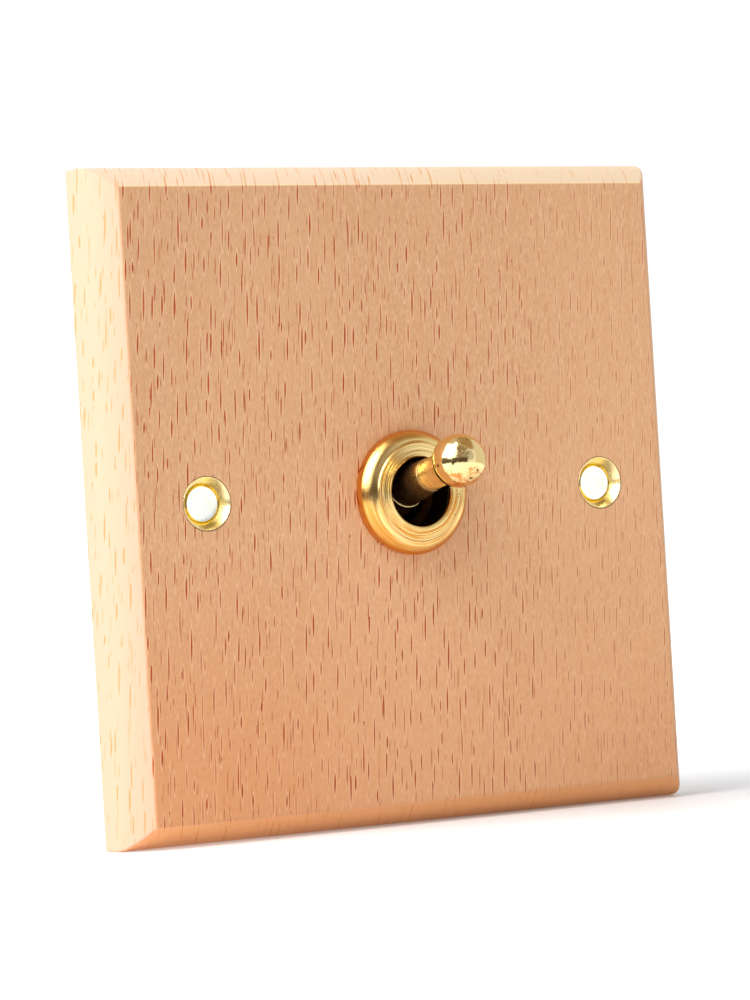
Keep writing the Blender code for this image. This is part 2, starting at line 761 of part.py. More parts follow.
def make_outer_terminal(label, side):
    """Pad under the fixed contact, bent back through the floor to a screw blade."""
    pad_back = TERMINAL_PAD_Y + STRIP_THICKNESS
    leg_outer = TERMINAL_LEG_Z + STRIP_THICKNESS
    outline = [
        (TERMINAL_PAD_Y, TERMINAL_PAD_INNER),
        (TERMINAL_PAD_Y, leg_outer),
        (TERMINAL_END, leg_outer),
        (TERMINAL_END, TERMINAL_LEG_Z),
        (pad_back, TERMINAL_LEG_Z),
        (pad_back, TERMINAL_PAD_INNER),
    ]
    half = ROCKER_WIDTH / 2.0
    mirrored = [(y, side * z) for y, z in outline]
    terminal = prism(f"terminal_{label}", mirrored, -half, half, "brass_plain")
    span = (TERMINAL_PAD_Y - 1.0, pad_back + 1.0)
    hole = cylinder_cutter(f"contact_hole_{label}", RIVET_RADIUS + GAP, *span, COARSE)
    combine(terminal, place(hole, (0.0, 0.0, -side * closed_contact().y)))
    combine(terminal, screw_way(label, side * (TERMINAL_LEG_Z + STRIP_THICKNESS / 2.0)))


def screw_way(label, z):
    """Cutter for a clamping screw's hole, along Z through a blade."""
    hole = cylinder_cutter(f"screw_way_{label}", CLAMP_SCREW_RADIUS + 0.2, -1.5, 1.5, COARSE)
    return place(hole, (0.0, CLAMP_SCREW_Y, z), (math.pi / 2.0, 0.0, 0.0))


def make_common_terminal():
    """Straight blade whose inner end is the knife edge that the rocker tilts on."""
    half_thickness = STRIP_THICKNESS / 2.0
    edge = ROCKER_Y + EDGE_CLEARANCE
    outline = [
        (edge, 0.0),
        (edge + EDGE_TAPER, half_thickness),
        (TERMINAL_END, half_thickness),
        (TERMINAL_END, -half_thickness),
        (edge + EDGE_TAPER, -half_thickness),
    ]
    half = ROCKER_WIDTH / 2.0
    terminal = prism("terminal_common", outline, -half, half, "brass_plain")
    combine(terminal, screw_way("common", 0.0))


def make_terminal_screw(label, blade_z, side):
    """Square clamp plate and screw on the outer side of a blade."""
    clamp_low = blade_z + side * (STRIP_THICKNESS / 2.0 + GAP)
    clamp_high = clamp_low + side * STRIP_THICKNESS
    low_z, high_z = sorted((clamp_low, clamp_high))
    low = (-CLAMP_HALF_WIDTH, CLAMP_SCREW_Y - CLAMP_HALF_WIDTH, low_z)
    high = (CLAMP_HALF_WIDTH, CLAMP_SCREW_Y + CLAMP_HALF_WIDTH, high_z)
    clamp = block(f"terminal_clamp_{label}", low, high, "steel")
    hole = cylinder_cutter(f"clamp_hole_{label}", CLAMP_SCREW_RADIUS + 0.2, -1.5, 1.5, COARSE)
    combine(clamp, place(hole, (0.0, CLAMP_SCREW_Y, (low_z + high_z) / 2.0), (math.pi / 2.0, 0.0, 0.0)))
    shank = (CLAMP_SCREW_RADIUS, CLAMP_SCREW_LENGTH)
    screw = slotted_screw(f"terminal_screw_{label}", CLAMP_SCREW_HEAD, shank, "brass_plain")
    head_seat = clamp_high + side * GAP
    place(screw, (0.0, CLAMP_SCREW_Y, head_seat), (-side * math.pi / 2.0, 0.0, 0.0))


def make_terminals():
    blade_middle = TERMINAL_LEG_Z + STRIP_THICKNESS / 2.0
    make_outer_terminal("upper", 1.0)
    make_outer_terminal("lower", -1.0)
    make_common_terminal()
    make_terminal_screw("upper", blade_middle, 1.0)
    make_terminal_screw("common", 0.0, 1.0)
    make_terminal_screw("lower", -blade_middle, -1.0)


def make_housing():
    """Open-fronted moulded box with slots in its floor and barriers between the terminals."""
    half_w, half_h = BODY_HALF_WIDTH, BODY_HALF_HEIGHT
    housing = block("housing", (-half_w, BODY_START, -half_h), (half_w, BODY_END, half_h), "phenolic")
    inner_w, inner_h = half_w - BODY_WALL, half_h - BODY_WALL
    floor = BODY_END - FLOOR_THICKNESS
    cavity = block("cavity_cutter", (-inner_w, BODY_START - 1.0, -inner_h), (inner_w, floor, inner_h))
    for label, z in (("upper", BARRIER_Z), ("lower", -BARRIER_Z)):
        low = (-BARRIER_HALF_WIDTH, BODY_END - 1.0, z - BARRIER_HALF_THICKNESS)
        high = (BARRIER_HALF_WIDTH, BARRIER_END, z + BARRIER_HALF_THICKNESS)
        combine(housing, block(f"barrier_{label}", low, high), "UNION")
    combine(housing, cavity)
    slot_half = ROCKER_WIDTH / 2.0 + GAP
    thick_half = STRIP_THICKNESS / 2.0 + GAP
    blade_middle = TERMINAL_LEG_Z + STRIP_THICKNESS / 2.0
    for label, z in (("upper", blade_middle), ("common", 0.0), ("lower", -blade_middle)):
        low = (-slot_half, floor - 1.0, z - thick_half)
        high = (slot_half, BODY_END + 1.0, z + thick_half)
        combine(housing, block(f"floor_slot_{label}", low, high))


def make_frame():
    """Folded steel frame: front plate with the bushing's hole, two legs and crimped feet."""
    front_end = FRAME_START + FRAME_THICKNESS
    leg_in = BODY_HALF_WIDTH + GAP
    leg_out = leg_in + FRAME_LEG_THICKNESS
    foot_end = BODY_END + GAP + FRAME_LEG_THICKNESS
    low = (-leg_out, FRAME_START, -BODY_HALF_HEIGHT)
    frame = block("frame", low, (leg_out, front_end, BODY_HALF_HEIGHT), "steel")
    for label, side in (("left", -1.0), ("right", 1.0)):
        near, far = sorted((side * leg_in, side * leg_out))
        low = (near, front_end - 0.5, -FRAME_LEG_HALF)
        leg = block(f"frame_leg_{label}", low, (far, foot_end, FRAME_LEG_HALF))
        combine(frame, leg, "UNION")
        near, far = sorted((side * (leg_out - 0.3), side * FRAME_FOOT_INNER))
        low = (near, BODY_END + GAP, -FRAME_FOOT_HALF)
        foot = block(f"frame_foot_{label}", low, (far, foot_end, FRAME_FOOT_HALF))
        combine(frame, foot, "UNION")
    combine(frame, cylinder_cutter("spigot_hole", SPIGOT_RADIUS + GAP, 0.0, 5.0, 40))


def build():
    clear_scene()
    make_face_plate()
    for side, x in fixing_places():
        make_screw_cup(side, x)
        make_screw_cap(side, x)
        make_fixing_screw(side, x)
    make_bezel_ring()
    make_bushing()
    make_clamp_stack()
    make_earth_tag()
    make_earth_screw()
    make_pivot_pin()
    lever_axis = pivot_empty("lever_axis", (0.0, PIVOT_Y, 0.0), -LEVER_TILT)
    make_lever(lever_axis)
    make_lever_knob(lever_axis)
    make_plunger(lever_axis)
    make_plunger_spring(lever_axis)
    rocker_axis = pivot_empty("rocker_axis", (0.0, ROCKER_Y, 0.0), ROCKER_REST)
    make_rocker(rocker_axis)
    make_contact_strip(rocker_axis)
    make_moving_contacts(rocker_axis)
    make_fixed_contacts()
    make_terminals()
    make_housing()
    make_frame()


build()
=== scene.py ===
"""Looks of the toggle wall switch: oiled beech plate, turned brass fittings and the switch body behind it.

Lengths below are in millimetres in the row frame, unless a name says otherwise; MM turns them into metres.
"""

import json
import math

import bmesh
import bpy
from mathutils import Matrix, Vector


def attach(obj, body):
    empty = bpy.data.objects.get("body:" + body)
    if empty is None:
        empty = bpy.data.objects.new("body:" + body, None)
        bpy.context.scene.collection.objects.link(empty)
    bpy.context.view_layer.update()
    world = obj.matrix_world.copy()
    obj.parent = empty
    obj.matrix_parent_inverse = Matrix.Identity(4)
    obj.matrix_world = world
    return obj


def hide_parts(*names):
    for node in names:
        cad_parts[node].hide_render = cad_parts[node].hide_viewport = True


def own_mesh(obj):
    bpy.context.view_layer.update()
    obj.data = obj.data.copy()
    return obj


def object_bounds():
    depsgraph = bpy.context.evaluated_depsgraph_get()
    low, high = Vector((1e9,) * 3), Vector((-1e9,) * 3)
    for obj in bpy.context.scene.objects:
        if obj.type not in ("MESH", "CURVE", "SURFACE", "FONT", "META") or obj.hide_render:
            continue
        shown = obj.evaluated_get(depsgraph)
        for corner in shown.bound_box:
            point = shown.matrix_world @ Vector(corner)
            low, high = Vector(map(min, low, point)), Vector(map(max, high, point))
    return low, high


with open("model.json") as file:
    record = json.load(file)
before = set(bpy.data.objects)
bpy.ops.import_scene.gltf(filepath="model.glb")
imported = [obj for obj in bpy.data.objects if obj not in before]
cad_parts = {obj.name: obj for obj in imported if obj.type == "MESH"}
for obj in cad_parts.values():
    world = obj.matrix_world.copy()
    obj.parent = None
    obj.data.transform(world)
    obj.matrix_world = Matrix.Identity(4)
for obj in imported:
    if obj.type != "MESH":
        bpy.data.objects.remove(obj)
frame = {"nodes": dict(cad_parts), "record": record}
cad_low, cad_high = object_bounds()

MM = 0.001

# Camera: its place, and its angles in degrees
CAMERA_PLACE = (-281.2, -454.3, -5.56)
CAMERA_AZIMUTH = 31.76
CAMERA_ELEVATION = 0.53
CAMERA_ROLL = -3.48
CAMERA_LENS = 146.1

# Floor: how far the table reaches in reflections, and how far the floor goes
TABLE_REACH = 290.0
FLOOR_REACH = 4000.0
FLOOR_GAP = 0.02

# Large soft light at the upper left, a metre away: the way to it, its size in metres and power in watts
KEY_WAY = (-0.76, -0.02, 0.65)
KEY_SIZE = (0.85, 0.95)
KEY_POWER = 15.2

# Ways to the things that polished metal reflects: a stand, a lens, a canopy and the window
STAND_WAY = (-0.30, -0.77, 0.56)
LENS_WAY = (0.288, -0.906, 0.311)
CANOPY_WAY = (0.5, -0.12, 0.86)
WINDOW_WAY = (-0.927, -0.375, 0.0)
WINDOW_SIDE = (-0.375, 0.927, 0.0)

# Plate, as in the CAD model
HALF = 43.0
FRONT = -8.6
EDGE_INSET = 3.0
EDGE_DEPTH = 5.6
EDGE_LEAD = 2.6
EDGE_EASE = 0.25
EDGE_STEPS = 16
ARRIS = 0.22
MITRE = 0.3
POCKET_HALVES = (23.0, 29.0)
POCKET_DEPTH = 4.0
POCKET_CORNER = 8.0
BARREL_HOLE = 6.2
FIXING_X = 30.15
FIXING_HOLE = 3.48
FIXING_FLARE = 0.05
DRILL_DRIFT = (0.05, -0.02)
GAP = 0.25
RAY_LEAN = math.radians(22.0)
GRAIN_LEAN = 0.055

# Ray flecks: cell size across, along and through the wood, then range of half length and of half width
BOLD_FLECKS = ((1.55, 5.2, 34.0), (0.8, 2.5), (0.07, 0.12))
THIN_FLECKS = ((0.95, 3.4, 26.0), (0.6, 1.7), (0.045, 0.075))

# Cups, caps and fixing screws
CUP_RADIUS = 3.42
CUP_MOUTH = 3.32
CUP_THROAT = 2.42
CUP_DEPTH = 4.4
CAP_RADIUS = 2.4
CAP_SINK = 1.3
CAP_THICKNESS = 0.7
CAP_DISH = 0.03
SCREW_RADIUS = 1.65
SCREW_END = 22.0
SCREW_HEAD = 2.35
HEAD_TOP = FRONT + CAP_SINK + CAP_THICKNESS + GAP
STUD_RADIUS = 0.6
STUD_LENGTH = 1.6
SLOT_HALF = 0.4

# Bezel, heights measured out from the wood
BEZEL_RADIUS = 8.1
BEZEL_HEIGHT = 3.1
BEZEL_MOUTH = 4.45
BEZEL_LIP = 4.82
BEZEL_RIDGE = 6.36
BEZEL_WALL = 1.05
BEZEL_FLANK = ((0.5, 90.0, 61.0, 6), (3.6, 61.0, 43.0, 12), (1.4, 43.0, 16.0, 8))
BEZEL_GROOVES = ((6.1, 0.025), (5.86, 0.015), (5.62, 0.02), (5.33, 0.04), (5.08, 0.015), (4.92, 0.02))
BEZEL_SEAT = 1.95

# Bushing
BARREL_RADIUS = 5.95
BARREL_STAND = 1.7
BORE_RADIUS = 4.75
FLANGE = (7.6, 0.3, 1.3)
SPIGOT = (5.6, 2.9)
SEAT_RADIUS = 3.95
SEAT_HALF = 1.9

# Clamp stack behind the plate
TOOTH_ROOT = 8.15
TOOTH_HEIGHT = 0.72
TEETH = 12
WASHER_SPAN = (-3.75, -3.15)
NUT_SPAN = (-2.9, -0.9)
NUT_FLATS = 17.0
EARTH_NUT_SPAN = (-2.7, -0.9)
EARTH_NUT_FLATS = 5.5
EARTH_NUT_BORE = 1.7
EARTH_Z = -17.0
EARTH_SEAT = 0.2

# Lever, distances measured out from its pivot
PIVOT_Y = -4.1
LEVER_TILT = math.radians(-12.0)
BALL_RADIUS = 3.65
COLLAR_RADIUS = 2.85
TAIL_RADIUS = 2.2
TAIL_BORE = 1.5
TAIL_END = 10.0
BORE_END = 3.6
PIN_WAY_RADIUS = 1.0
KNOB_RADIUS = 3.47
KNOB_CENTRE = 17.2
KNOB_SEAT_RADIUS = 2.25
KNOB_BORE = 1.35

# Spring in the lever's tail, distances measured back from the pivot
SPRING_COIL = 1.0
SPRING_WIRE = 0.17
SPRING_TURNS = 5.5
SPRING_START = 4.02
SPRING_END = 6.48

# Terminal and earth screws: (radius, length) of head and shank, and where the terminals' heads sit
TERMINAL_HEAD = (2.3, 1.6)
TERMINAL_SHANK = (1.4, 4.2)
TERMINAL_Y = 22.6
TERMINAL_SEATS = (("upper", 10.9, 1.0), ("common", 1.7, 1.0), ("lower", -10.9, -1.0))
EARTH_HEAD = (2.6, 1.8)
EARTH_SHANK = (1.5, 3.6)

# How many sides the turned pieces have
FINE = 144
MEDIUM = 72
COARSE = 48

# Corners that aren't eased: those beside an edge shorter than TINY, and those with a wider angle than this
TINY = 1e-6
NEARLY_STRAIGHT = math.radians(160.0)


# ---------------------------------------------------------------- node helpers


class Graph:
    """A node tree, with short calls for the nodes that the looks share."""

    def __init__(self, owner):
        owner.use_nodes = True
        self.owner = owner
        self.tree = owner.node_tree
        self.shader = self.tree.nodes.get("Principled BSDF")

    def node(self, kind, **settings):
        made = self.tree.nodes.new(kind)
        for key, value in settings.items():
            setattr(made, key, value)
        return made

    def feed(self, value, socket):
        if isinstance(value, bpy.types.NodeSocket):
            self.tree.links.new(value, socket)
        else:
            socket.default_value = value

    def math(self, operation, *values):
        made = self.node("ShaderNodeMath", operation=operation)
        for value, socket in zip(values, made.inputs):
            self.feed(value, socket)
        return made.outputs[0]

    def times(self, first, second):
        return self.math("MULTIPLY", first, second)

    def plus(self, first, second):
        return self.math("ADD", first, second)

    def less(self, first, second):
        return self.math("SUBTRACT", first, second)

    def dot(self, vector, direction):
        made = self.node("ShaderNodeVectorMath", operation="DOT_PRODUCT")
        self.feed(vector, made.inputs[0])
        made.inputs[1].default_value = direction
        return made.outputs["Value"]

    def combine(self, x, y, z):
        made = self.node("ShaderNodeCombineXYZ")
        for value, socket in zip((x, y, z), made.inputs):
            self.feed(value, socket)
        return made.outputs[0]

    def stretch(self, values, factors):
        return self.combine(*(self.times(value, factor) for value, factor in zip(values, factors)))

    def separate(self, vector):
        made = self.node("ShaderNodeSeparateXYZ")
        self.feed(vector, made.inputs[0])
        return made.outputs

    def noise(self, vector, scale=1.0, detail=2.0, roughness=0.5):
        made = self.node("ShaderNodeTexNoise")
        self.feed(vector, made.inputs["Vector"])
        made.inputs["Scale"].default_value = scale
        made.inputs["Detail"].default_value = detail
        made.inputs["Roughness"].default_value = roughness
        return made.outputs["Fac"]

    def cells(self, vector, scale=1.0):
        made = self.node("ShaderNodeTexVoronoi", voronoi_dimensions="3D", feature="F1")
        self.feed(vector, made.inputs["Vector"])
        made.inputs["Scale"].default_value = scale
        return made.outputs

    def ramp(self, value, low, high, start=0.0, end=1.0):
        """Smooth step of a value from low..high to start..end."""
        made = self.node("ShaderNodeMapRange", interpolation_type="SMOOTHSTEP")
        self.feed(value, made.inputs["Value"])
        for key, number in (("From Min", low), ("From Max", high), ("To Min", start), ("To Max", end)):
            made.inputs[key].default_value = number
        return made.outputs["Result"]

    def mix(self, factor, first, second):
        made = self.node("ShaderNodeMix", data_type="RGBA")
        self.feed(factor, made.inputs[0])
        for value, socket in ((first, made.inputs[6]), (second, made.inputs[7])):
            self.feed(value if isinstance(value, bpy.types.NodeSocket) else (*value, 1.0), socket)
        return made.outputs[2]

    def place(self):
        """Position in the object's own frame, in millimetres."""
        coordinates = self.node("ShaderNodeTexCoord").outputs["Object"]
        scaled = self.node("ShaderNodeVectorMath", operation="SCALE")
        self.feed(coordinates, scaled.inputs[0])
        scaled.inputs["Scale"].default_value = 1.0 / MM
        return scaled.outputs[0]

    def bump(self, height, depth, strength=1.0):
        made = self.node("ShaderNodeBump")
        made.inputs["Strength"].default_value = strength
        made.inputs["Distance"].default_value = depth * MM
        self.feed(height, made.inputs["Height"])
        self.feed(made.outputs["Normal"], self.shader.inputs["Normal"])

    def finish(self, colour, roughness, **fixed):
        self.feed(colour, self.shader.inputs["Base Color"])
        self.feed(roughness, self.shader.inputs["Roughness"])
        for key, value in fixed.items():
            self.shader.inputs[key.replace("_", " ")].default_value = value
        return self.owner


def material_graph(name):
    return Graph(bpy.data.materials.new(name))


def srgb(red, green, blue):
    """Display values 0..255 as linear colour."""
    def linear(value):
        value /= 255.0
        return value / 12.92 if value <= 0.04045 else ((value + 0.055) / 1.055) ** 2.4
    return tuple(linear(v) for v in (red, green, blue))


# ---------------------------------------------------------------- materials

WOOD = {
    "dark fibre": srgb(203, 150, 109),
    "light fibre": srgb(227, 180, 138),
    "streak": srgb(212, 154, 104),
    "band": srgb(224, 173, 130),
    "low": srgb(222, 151, 98),
    "low left": srgb(214, 138, 84),
    "halo": srgb(236, 198, 160),
    # Edge tones: painted light on the left side and the top end, painted shade on the bottom end
    "left side painted light": srgb(222, 174, 148),
    "right side": srgb(220, 172, 128),
    "top end painted light": srgb(226, 208, 180),
    "bottom end painted shade": srgb(228, 160, 102),
    # Painted highlight along the top arris
    "top arris highlight": srgb(246, 228, 164),
    "fleck": srgb(162, 58, 0),
    "edge fleck": srgb(216, 138, 66),
}
BRASS_PIT = srgb(64, 40, 14)
BRASS_PAINTED_WOOD_REFLECTION = srgb(216, 136, 34)
BRASS_PAINTED_SHADE = srgb(104, 62, 26)


def flecks(graph, across, along, through, cell, length, width):
    """Lens-shaped ray flecks, one to a cell. Returns (mask, pale surround, a random number for each)."""
    places = zip((across, along, through), cell)
    stretched = graph.combine(*(graph.math("DIVIDE", value, size) for value, size in places))
    cells = graph.cells(stretched)
    here = graph.separate(stretched)
    centre = graph.separate(cells["Position"])
    chance = graph.separate(cells["Color"])
    off_across = graph.times(graph.less(here[0], centre[0]), cell[0])
    off_along = graph.times(graph.less(here[1], centre[1]), cell[1])
    half_length = graph.math("MULTIPLY_ADD", chance[0], length[1] - length[0], length[0])
    half_width = graph.math("MULTIPLY_ADD", chance[1], width[1] - width[0], width[0])
    lean = graph.times(off_along, graph.math("MULTIPLY_ADD", chance[2], 0.03, -0.015))
    from_axis = graph.math("ABSOLUTE", graph.less(off_across, lean))
    reach = graph.math("DIVIDE", off_along, half_length)
    lens = graph.plus(graph.math("DIVIDE", from_axis, half_width), graph.times(reach, reach))
    halo = graph.times(graph.ramp(lens, 3.2, 1.4), graph.ramp(lens, 0.8, 1.3))
    return graph.ramp(lens, 1.15, 0.85), halo, chance[2]


def ray_marks(graph, grain, x):
    """Bold and thin flecks, fainter to the right as painted glare. Returns (marks, pale surround)."""
    bold, halo, bold_chance = flecks(graph, *grain, *BOLD_FLECKS)
    thin, _, thin_chance = flecks(graph, *grain, *THIN_FLECKS)
    bold = graph.times(bold, graph.ramp(bold_chance, 0.0, 0.5, 0.4, 1.0))
    thin = graph.times(thin, graph.ramp(thin_chance, 0.25, 0.9, 0.0, 0.75))
    # Painted glare: the flecks lose up to half their strength towards the right.
    painted_glare_fade = graph.ramp(x, 0.0, 32.0, 1.0, 0.5)
    return graph.times(graph.math("MAXIMUM", bold, thin), painted_glare_fade), halo


def wood_ground(graph, grain, x, along, fibres):
    """Fibres, streaks and bands, more orange at the bottom and lower left; darker to the upper left as
    painted shade of the light falling off.
    """
    across = grain[0]
    streaks = graph.noise(graph.stretch(grain, (1.6, 0.12, 0.3)), 1.0, 2.0)
    band_place = graph.combine(graph.times(across, 0.05), graph.times(along, 0.012), 0.0)
    bands = graph.noise(band_place, 1.0, 1.0)
    ground = graph.mix(graph.ramp(fibres, 0.3, 0.7), WOOD["dark fibre"], WOOD["light fibre"])
    ground = graph.mix(graph.ramp(streaks, 0.35, 0.7, 0.0, 0.3), ground, WOOD["streak"])
    ground = graph.mix(graph.ramp(bands, 0.35, 0.65, 0.0, 0.3), ground, WOOD["band"])
    ground = graph.mix(graph.ramp(along, 5.0, -43.0, 0.0, 0.3), ground, WOOD["low"])
    low_left = graph.times(graph.ramp(along, 0.0, -40.0), graph.ramp(x, 5.0, -30.0))
    ground = graph.mix(graph.times(low_left, 0.4), ground, WOOD["low left"])
    # Painted shade: a little darker towards the upper left, where the light falls off.
    painted_falloff = graph.plus(graph.times(along, 0.0016), graph.times(x, -0.001))
    return graph.mix(graph.plus(painted_falloff, 0.072), ground, (0.0, 0.0, 0.0))


def beech():
    """Oiled beech: pink-brown ground, upright fibres and dark ray flecks that run on into the wood."""
    graph = material_graph("beech")
    position = graph.place()
    x, y, along = graph.separate(position)
    level = graph.dot(position, (math.cos(RAY_LEAN), -math.sin(RAY_LEAN), 0.0))
    through = graph.dot(position, (math.sin(RAY_LEAN), math.cos(RAY_LEAN), 0.0))
    wander = graph.noise(graph.combine(level, graph.times(along, 0.3), 0.0), 0.08, 2.0)
    across = graph.less(graph.math("MULTIPLY_ADD", wander, 0.8, level), graph.times(along, GRAIN_LEAN))
    grain = (across, along, through)
    marks, halo = ray_marks(graph, grain, x)
    fibres = graph.noise(graph.stretch(grain, (6.5, 1.3, 2.0)), 1.0, 4.0, 0.75)
    ground = wood_ground(graph, grain, x, along, fibres)
    ground = graph.mix(graph.times(halo, 0.3), ground, WOOD["halo"])

    # The routed edges get a plain tone of their own, one for each side and for the end grain on top and at
    # the bottom:
    # painted light makes the left side and the top end paler, and painted shade makes the bottom end a
    # deeper orange
    outermost = graph.math("MAXIMUM", graph.math("ABSOLUTE", x), graph.math("ABSOLUTE", along))
    off_back = graph.ramp(y, -0.02, -0.2)
    on_edge = graph.times(graph.ramp(outermost, HALF - EDGE_INSET - 0.2, HALF - EDGE_INSET), off_back)
    edge = graph.times(graph.ramp(y, FRONT + 0.02, FRONT + 0.25), on_edge)
    past_mitre = graph.less(graph.math("ABSOLUTE", along), graph.math("ABSOLUTE", x))
    end_face = graph.times(graph.ramp(past_mitre, 0.0, 0.2), edge)
    side_tone_painted_light = graph.mix(graph.ramp(x, -1.0, 1.0), WOOD["left side painted light"], WOOD["right side"])
    top_end_painted_light = graph.times(end_face, graph.ramp(along, 0.0, 1.0, 0.0, 0.8))
    bottom_end_painted_shade = graph.times(end_face, graph.ramp(along, 0.0, -1.0, 0.0, 0.9))
    pale = graph.mix(top_end_painted_light, side_tone_painted_light, WOOD["top end painted light"])
    pale = graph.mix(bottom_end_painted_shade, pale, WOOD["bottom end painted shade"])
    ground = graph.mix(graph.times(edge, 0.88), ground, pale)
    # Painted highlight: a pale yellow line along the top arris
    past_face = graph.ramp(y, FRONT + 0.01, FRONT + 0.05)
    corner = graph.times(past_face, graph.ramp(y, FRONT + 0.3, FRONT + 0.15))
    corner = graph.times(graph.times(corner, end_face), graph.ramp(along, 0.0, 1.0))
    ground = graph.mix(graph.times(corner, 0.6), ground, WOOD["top arris highlight"])

    # The flecks are orange on the edges, and faint on the right one
    mark = graph.mix(edge, WOOD["fleck"], WOOD["edge fleck"])
    radial_face = graph.times(edge, graph.less(1.0, end_face))
    faded = graph.times(radial_face, graph.ramp(x, -1.0, 1.0, 0.0, 0.7))
    marks = graph.times(marks, graph.less(1.0, faded))
    colour = graph.mix(graph.times(marks, graph.ramp(edge, 0.0, 1.0, 0.94, 0.75)), ground, mark)

    height = graph.less(graph.times(fibres, 0.4), marks)
    graph.bump(height, 0.02, 0.5)
    roughness = graph.math("MULTIPLY_ADD", fibres, 0.14, 0.42)
    return graph.finish(colour, roughness, Specular_IOR_Level=0.22)


def brass(
    name, tone, stain, rough, smudge=(0.45, 0.75),
    rings=None, grain=None, painted_shade_span=None, base=None, painted_underside_reflection=0.0, pitting=0.12, speckle=0.4,
):
    """Brass with stains, tiny dark pits and hairlines.

    rough: lowest and highest roughness; smudge: how much cloud it takes for a stain to start and to fill;
    rings: (spacing, depth) of turning lines about Y; grain: (size, depth) of a cast skin;
    painted_shade_span: (start, end) along Y between which it turns dark, as painted shade, and dull;
    base: (start, end) radius over which it turns amber, as a painted reflection of the wood;
    painted_underside_reflection: how much the stains gather on the underside, as a painted reflection of
    the shavings on the table below; pitting: the size of the largest pits, in cells; speckle: how strong
    the fine stains are.
    """
    graph = material_graph(name)
    position = graph.place()
    x, y, z = graph.separate(position)
    radius = graph.math("SQRT", graph.plus(graph.times(x, x), graph.times(z, z)))
    if rings:
        across = graph.times(graph.plus(radius, y), 3.0)
        around = graph.combine(graph.math("DIVIDE", x, radius), across, graph.math("DIVIDE", z, radius))
        cloud = graph.noise(around, 0.7, 4.0, 0.62)
    else:
        cloud = graph.noise(position, 0.5, 4.0, 0.62)
    speck = graph.noise(position, 5.0, 3.0, 0.7)
    pits = graph.cells(position, 1.2)
    pit_size = graph.ramp(graph.separate(pits["Color"])[0], 0.35, 1.0, 0.0, pitting)
    pit = graph.math("LESS_THAN", pits["Distance"], pit_size)
    hair = graph.noise(graph.stretch((x, y, z), (9.0, 1.1, 1.6)), 1.0, 2.0, 0.6)

    # Painted reflection: the stains gather on the underside, standing for the shavings reflected from the
    # table below.
    stains_and_underside_reflection = graph.plus(cloud, graph.ramp(z, 0.6, -1.6, -painted_underside_reflection, painted_underside_reflection)) if painted_underside_reflection else cloud
    stain_and_reflection_mask = graph.ramp(stains_and_underside_reflection, *smudge)
    colour = graph.mix(stain_and_reflection_mask, tone, stain)
    colour = graph.mix(graph.ramp(speck, 0.58, 0.76, 0.0, speckle), colour, stain)
    colour = graph.mix(graph.times(pit, 0.9), colour, BRASS_PIT)
    roughness = graph.plus(graph.ramp(cloud, 0.35, 0.7, *rough), graph.ramp(speck, 0.6, 0.85, 0.0, 0.1))
    height = graph.less(graph.plus(graph.times(speck, 0.3), graph.times(hair, 0.25)), pit)
    depth = 0.004
    if base:
        # Painted reflection of the wood: amber towards the outer flank.
        colour = graph.mix(graph.ramp(radius, *base, 0.0, 0.7), colour, BRASS_PAINTED_WOOD_REFLECTION)
    if rings:
        spacing, depth = rings
        line_place = graph.combine(graph.times(radius, 1.0 / spacing), graph.times(y, 0.6 / spacing), 0.0)
        lines = graph.noise(line_place, 1.0, 3.0, 0.65)
        height = graph.plus(height, graph.times(lines, 1.2))
        colour = graph.mix(graph.ramp(lines, 0.52, 0.7, 0.0, 0.45), colour, stain)
    if grain:
        size, depth = grain
        height = graph.plus(height, graph.noise(position, 1.0 / size, 3.0, 0.65))
    if painted_shade_span:
        # Painted shade: the cone turns dark towards the pivot, deep in the bushing's hole, and over the
        # ledge; it also turns dull.
        blasted = graph.ramp(graph.noise(position, 4.5, 3.0, 0.7), 0.55, 0.62, 1.0, 0.12)
        dark = graph.math("MULTIPLY_ADD", graph.less(speck, 0.5), 1.2, graph.ramp(y, *painted_shade_span))
        dark = graph.times(graph.math("MINIMUM", graph.math("MAXIMUM", dark, 0.0), 0.96), blasted)
        dark = graph.times(dark, graph.ramp(y, -4.1, -4.0, 1.0, 0.1))
        colour = graph.mix(dark, colour, BRASS_PAINTED_SHADE)
        roughness = graph.plus(roughness, graph.times(dark, 0.3))
    graph.bump(height, depth, 1.0)
    return graph.finish(colour, roughness, Metallic=1.0)


def moulding(name, light, dark, roughness, texture):
    """Moulded plastic: faint flow clouds and a fine moulded skin."""
    graph = material_graph(name)
    position = graph.place()
    cloud = graph.noise(position, 0.35, 3.0)
    skin = graph.noise(position, 7.0, 3.0, 0.6)
    colour = graph.mix(graph.ramp(cloud, 0.35, 0.7), dark, light)
    graph.bump(skin, texture, 0.8)
    return graph.finish(colour, graph.math("MULTIPLY_ADD", skin, 0.18, roughness))


def plated_steel():
    """Zinc-plated sheet: cool and warm clouds over the rolling direction."""
    graph = material_graph("steel")
    position = graph.place()
    cloud = graph.noise(position, 0.4, 3.0, 0.6)
    rolled = graph.noise(graph.stretch(graph.separate(position), (7.0, 7.0, 0.5)), 1.0, 3.0, 0.6)
    colour = graph.mix(graph.ramp(cloud, 0.35, 0.7), srgb(168, 170, 170), srgb(206, 203, 192))
    colour = graph.mix(graph.ramp(rolled, 0.5, 0.8, 0.0, 0.35), colour, srgb(140, 142, 146))
    graph.bump(rolled, 0.004, 0.8)
    return graph.finish(colour, graph.math("MULTIPLY_ADD", rolled, 0.25, 0.22), Metallic=1.0)


